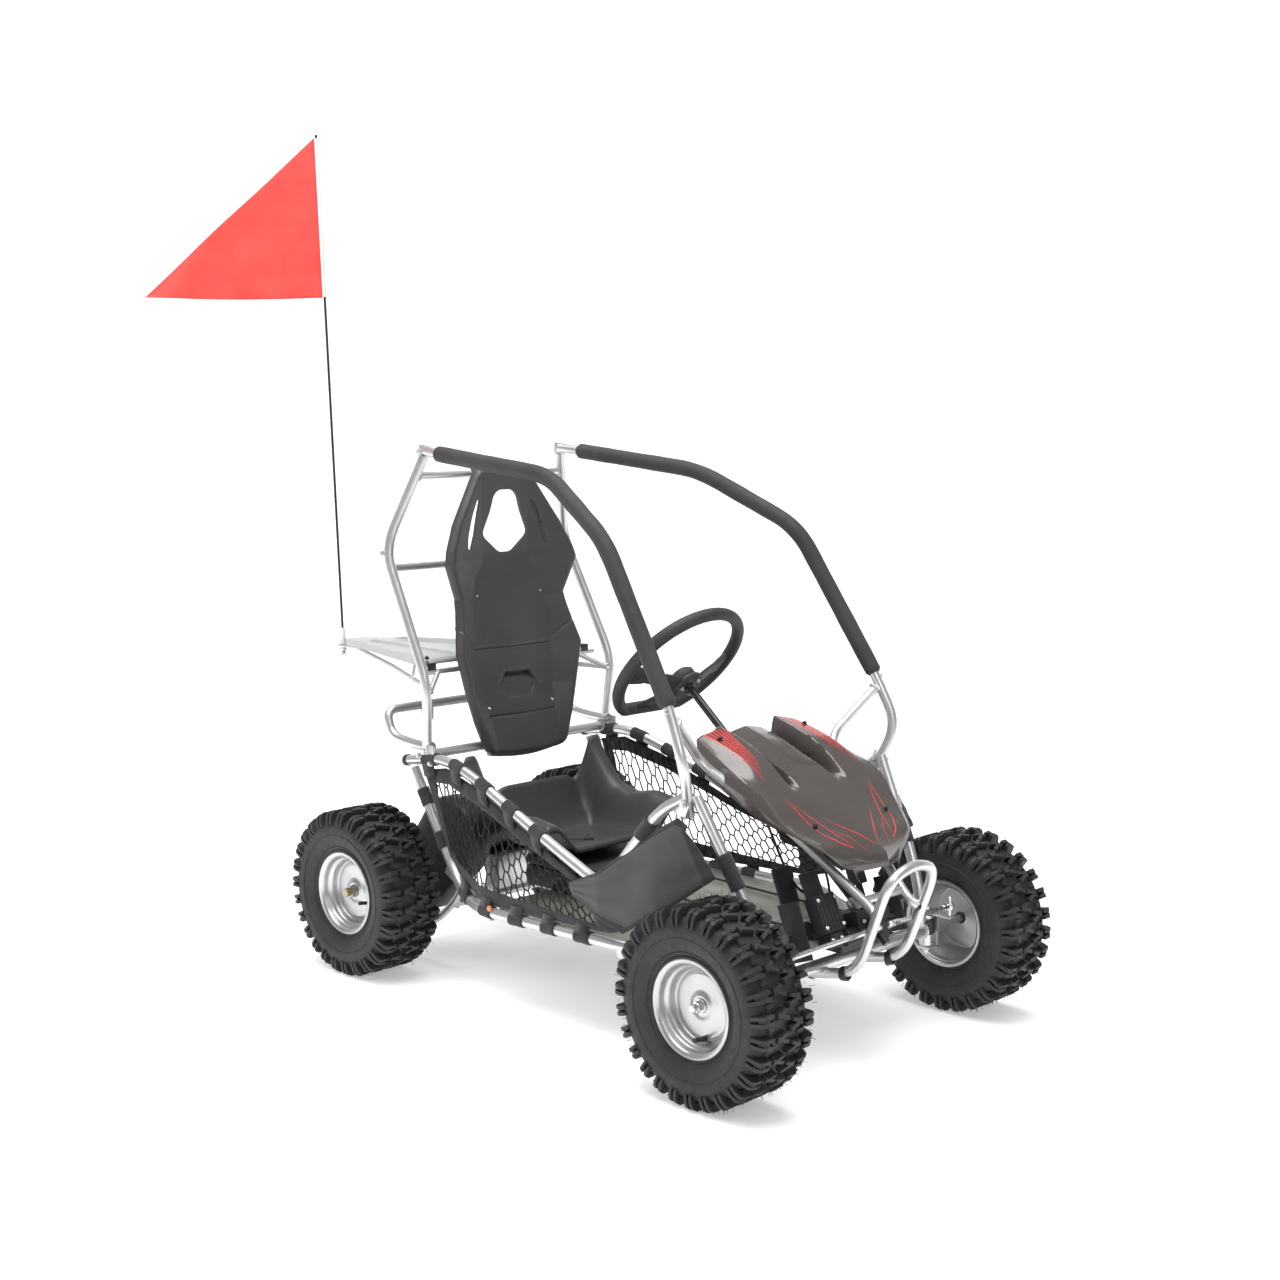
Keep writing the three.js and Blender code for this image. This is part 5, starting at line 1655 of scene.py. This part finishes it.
for name, s in SIDES:
    net = Shape()
    rows, cols = 9, 17
    for j in range(rows + 1):
        line = []
        for i in range(cols * 4 + 1):
            u = 0.80 * i / (cols * 4)
            lift = (0.5 if (i // 2) % 2 == 0 else -0.5) * (1 if j % 2 else -1)
            shift = 0.12 if i % 2 else -0.12
            v = min(1.0, max(0.0, (j + lift) / rows))
            line.append(net_point(min(0.80, max(0.0, u + shift * 0.80 / (cols * 4))), v, s))
        net.add(*sweep(rounded(line, 0.003, 3), ring(0.0017, 6)))
    net_piece = net.make(f"net_cords_{name}", NET, instead=[f"side_net_{name}"], slot="net", sharp=None)

    hem = Shape()
    for low_u, high_u, low_v, high_v in (
        (0.0, 0.80, -0.02, 0.13), (0.0, 0.80, 0.87, 1.02), (0.0, 0.045, 0.0, 1.0), (0.72, 0.80, 0.0, 1.0),
    ):
        def hem_surface(u, v):
            a, b = low_u + (high_u - low_u) * u, low_v + (high_v - low_v) * v
            return net_point(a, b, s, 0.0016 + 0.0012 * math.sin(a * 90) * math.sin(b * 20))

        hem.add(
            *grid_piece(
                hem_surface, 60 if high_u > 0.5 and low_u < 0.5 else 6,
                4 if high_v < 0.5 or low_v > 0.5 else 20,
            )
        )
    hem_piece = hem.make(f"net_hems_{name}", WEB, slot="net", sharp=None)
    thicken(hem_piece, 0.0016, 0.0)

    straps = Shape()
    for start in (0.060, 0.155, 0.250, 0.345, 0.440):
        wrap_band(straps, mirrored(SIDE_RAIL, s), start, start + 0.040, 0.0128, 0.036, s)
    for start in (0.300, 0.395, 0.490, 0.585, 0.680):
        wrap_band(straps, mirrored(LOWER_RAIL, s), start, start + 0.040, 0.0128, -0.028, s)
    for start in (0.050, 0.150):
        wrap_band(straps, mirrored(LOWER_RAIL, s), start, start + 0.038, 0.0128, 0.004, s)
    straps_piece = straps.make(f"net_straps_{name}", WEB, slot="net", sharp=60)
    thicken(straps_piece, 0.0014, 0.0)

    top_edge = [(-0.432, 0.304), (-0.330, 0.346), (-0.205, 0.440), (-0.150, 0.474), (-0.130, 0.462)]
    low_edge = [(-0.418, 0.280), (-0.345, 0.262), (-0.264, 0.240), (-0.160, 0.306), (-0.062, 0.376)]

    def panel_surface(u, v):
        a = np.array([np.interp(u * 4, range(5), [p[i] for p in top_edge]) for i in (0, 1)])
        b = np.array([np.interp(u * 4, range(5), [p[i] for p in low_edge]) for i in (0, 1)])
        x, z = a * (1 - v) + b * v
        y = np.interp(x, [-0.44, -0.33, -0.19, -0.06], [0.309, 0.3325, 0.3245, 0.2960])
        y += (
            0.004 * math.sin(math.pi * v) * math.sin(math.pi * u)
            + 0.0016 * math.sin(9 * u + 5 * v + s)
            + 0.0010 * math.sin(23 * v - 7 * u)
        )
        y -= 0.012 * max(0.0, 0.10 - v) / 0.10 * soft_step(u, 0.35, 0.2)
        return (x, s * y, z)

    panel = Shape().add(*grid_piece(panel_surface, 56, 34))
    panel_piece = panel.make(f"leg_panel_{name}", PANEL, slot="net", sharp=None)
    thicken(panel_piece, 0.0014, 0.0)
    trim = Shape()
    for edge_v in (0.0, 0.94):
        trim.add(
            *grid_piece(
                lambda u, v, e=edge_v: tuple(np.array(panel_surface(u, e + 0.06 * v)) + (0, s * 0.0012, 0)),
                56, 3
            )
        )
    trim.add(
        *grid_piece(
            lambda u, v: tuple(np.array(panel_surface(0.93 + 0.07 * u, v)) + (0, s * 0.0014, 0)), 4, 24
        )
    )
    trim_piece = trim.make(f"leg_trim_{name}", WEB, slot="net", sharp=None)
    thicken(trim_piece, 0.0012, 0.0)
    wraps = Shape()
    post, _ = even_line(mirrored(FRONT_POST, s), 200, 0.04)
    wraps.add(*sweep(post[64:104:3], ring(0.0130, 20), caps=False))
    rise, _ = even_line(mirrored(SIDE_RAIL, s), 400)
    for middle in (-0.318, -0.222):
        at = int(np.argmin(np.abs(rise[:, 0] - middle)))
        wraps.add(*sweep(rise[at - 9 : at + 10 : 3], ring(0.0130, 20), caps=False))
    wraps_piece = wraps.make(f"leg_wraps_{name}", WEB, slot="net", sharp=60)
    thicken(wraps_piece, 0.0016, 1.0)
    reflector = Shape().add(*disc(0.0065, 0.006, np.array([-0.668, s * 0.309, 0.206]), (0, 1, 0), 24, 0.0015))
    reflector.make(f"reflector_{name}", ORANGE, slot="moulded_plastic")

# ---------------------------------------------------------------- cables
for name, line in (
    (
        "pedal",
        [
            (-0.010, -0.104, 0.262), (-0.040, -0.070, 0.225), (-0.150, -0.050, 0.209),
            (-0.480, -0.060, 0.209), (-0.500, -0.080, 0.235),
        ],
    ),
    (
        "brake",
        [
            (0.020, 0.104, 0.262), (-0.020, 0.130, 0.222), (-0.130, 0.170, 0.208), (-0.620, 0.190, 0.208),
            (-0.760, 0.180, 0.240), (-0.960, 0.153, 0.250), (-1.000, 0.153, 0.244),
        ],
    ),
    (
        "loom",
        [
            (-0.262, 0.010, 0.524), (-0.180, 0.045, 0.450), (-0.100, 0.060, 0.340), (-0.060, 0.040, 0.240),
            (-0.090, 0.010, 0.209), (-0.400, 0.000, 0.209), (-0.505, 0.010, 0.230),
        ],
    ),
    (
        "switch",
        [(-0.240, -0.012, 0.506), (-0.150, -0.055, 0.425), (-0.060, -0.085, 0.320), (0.010, -0.090, 0.310)],
    ),
):
    path = rounded(line, 0.06, 8)
    cable = Shape().add(*sweep(path, ring(0.0026, 10))).make(f"cable_{name}", PLASTIC, slot="moulded_plastic")

# black castings round the pedals and the foot of the column
castings = Shape()
castings.add(*block((0.034, 0.052, 0.046), (0.050, -0.020, 0.262), pitch=-0.3, edge=0.004))
castings.add(*block((0.020, 0.070, 0.020), (0.042, -0.024, 0.232), edge=0.003))
castings.add(*disc(0.013, 0.040, (0.056, -0.052, 0.246), (0, 1, 0), 24, 0.002))
castings.add(*disc(0.010, 0.030, (0.040, 0.020, 0.282), (0.4, 0, 1), 24, 0.002))
castings.add(*block((0.010, 0.044, 0.070), (0.004, -0.104, 0.330), pitch=-UNIT_LEAN, edge=0.002))
castings.add(*block((0.030, 0.036, 0.030), (0.046, -0.104, 0.246), edge=0.003))
for k in range(4):
    castings.add(*disc(0.0145, 0.003, (0.056, -0.062 + 0.009 * k, 0.246), (0, 1, 0), 24, 0.0006))
castings.add(*block((0.046, 0.150, 0.066), (0.016, 0.014, 0.238), edge=0.006))
castings.add(*block((0.030, 0.050, 0.016), (0.010, 0.052, 0.276), edge=0.003))
for _, s in SIDES:
    castings.add(*block((0.050, 0.005, 0.110), (0.000, s * 0.145 - 0.004, 0.258), pitch=-0.35, edge=0.0015))
for _, s in SIDES:
    castings.add(*disc(0.0165, 0.034, (0, s * 0.262, AXLE_Z + 0.008), (0, 0, 1), 28, 0.003))
castings.make("front_castings", PLASTIC, slot="moulded_plastic")
casting_bolts = Shape()
for x, y, z in (
    (0.070, -0.034, 0.270), (0.070, -0.006, 0.270), (0.064, -0.030, 0.246), (0.064, -0.118, 0.250),
    (0.064, -0.092, 0.250),
):
    bolt(casting_bolts, (x, y, z), (1, 0, 0.3), 0.0042)
casting_bolts.make("casting_bolts", BOLT, slot="steel")

# ---------------------------------------------------------------- stage
ground = float(cad_box[0][2])
away = np.array([math.cos(YAW), math.sin(YAW), 0])
wide = np.array([-away[1], away[0], 0])
WALL_AWAY, WALL_HIGH, WALL_BEND, PAPER_HALF, FLOOR_NEAR = 5.5, 3.9, 1.6, 16, -12
foot = away * WALL_AWAY
stage_line = (
    rounded([away * FLOOR_NEAR, foot, foot + (0, 0, WALL_HIGH)], WALL_BEND, 24)
    + (0, 0, ground - 0.0005)
)
stage_points = [p + wide * side for p in stage_line for side in (-PAPER_HALF, PAPER_HALF)]
stage_faces = [[2 * i, 2 * i + 1, 2 * i + 3, 2 * i + 2] for i in range(len(stage_line) - 1)]
stage_data = bpy.data.meshes.new("studio_sweep")
stage_data.from_pydata([tuple(p) for p in stage_points], [], stage_faces)
stage_data.shade_smooth()
sweep_piece = bpy.data.objects.new("studio_sweep", stage_data)
scene.collection.objects.link(sweep_piece)
paper, paper_tree, paper_shader = new_material("studio_paper")
paper_shader.inputs["Base Color"].default_value = (0.86, 0.86, 0.86, 1)
paper_shader.inputs["Roughness"].default_value = 0.95
paper_shader.inputs["Specular IOR Level"].default_value = 0.1
paper_shader.inputs["Emission Color"].default_value = (1, 1, 1, 1)
paper_shader.inputs["Emission Strength"].default_value = 0.36
stage_data.materials.append(paper)

world = bpy.data.worlds.new("studio")
scene.world = world
world.use_nodes = True
world.node_tree.nodes["Background"].inputs[0].default_value = (1, 1, 1, 1)
world.node_tree.nodes["Background"].inputs[1].default_value = 0.33


def area_light(name, where, target, size, power):
    light = bpy.data.lights.new(name, "AREA")
    light.shape = "RECTANGLE"
    light.size, light.size_y = size
    light.energy = power
    lamp = bpy.data.objects.new(name, light)
    scene.collection.objects.link(lamp)
    lamp.location = place(where)
    lamp.rotation_mode = "QUATERNION"
    lamp.rotation_quaternion = (Vector(place(target)) - Vector(place(where))).to_track_quat("-Z", "Y")


area_light("top", (-0.6, -0.3, 4.2), (-0.6, 0, 0.3), (3.6, 3.6), 150)
area_light("key", (2.8, -1.2, 2.4), (-0.4, 0, 0.4), (1.4, 1.4), 16)
area_light("side", (-2.6, -3.0, 1.9), (-0.6, 0, 0.5), (1.4, 2.2), 60)
bpy.data.objects["side"].visible_glossy = False
sun = bpy.data.lights.new("sun", "SUN")
sun.energy = 1.5
sun.angle = math.radians(60)
sun_lamp = bpy.data.objects.new("sun", sun)
scene.collection.objects.link(sun_lamp)
sun_lamp.rotation_euler = (math.radians(6), math.radians(4), 0)
scene.view_settings.view_transform = "Standard"
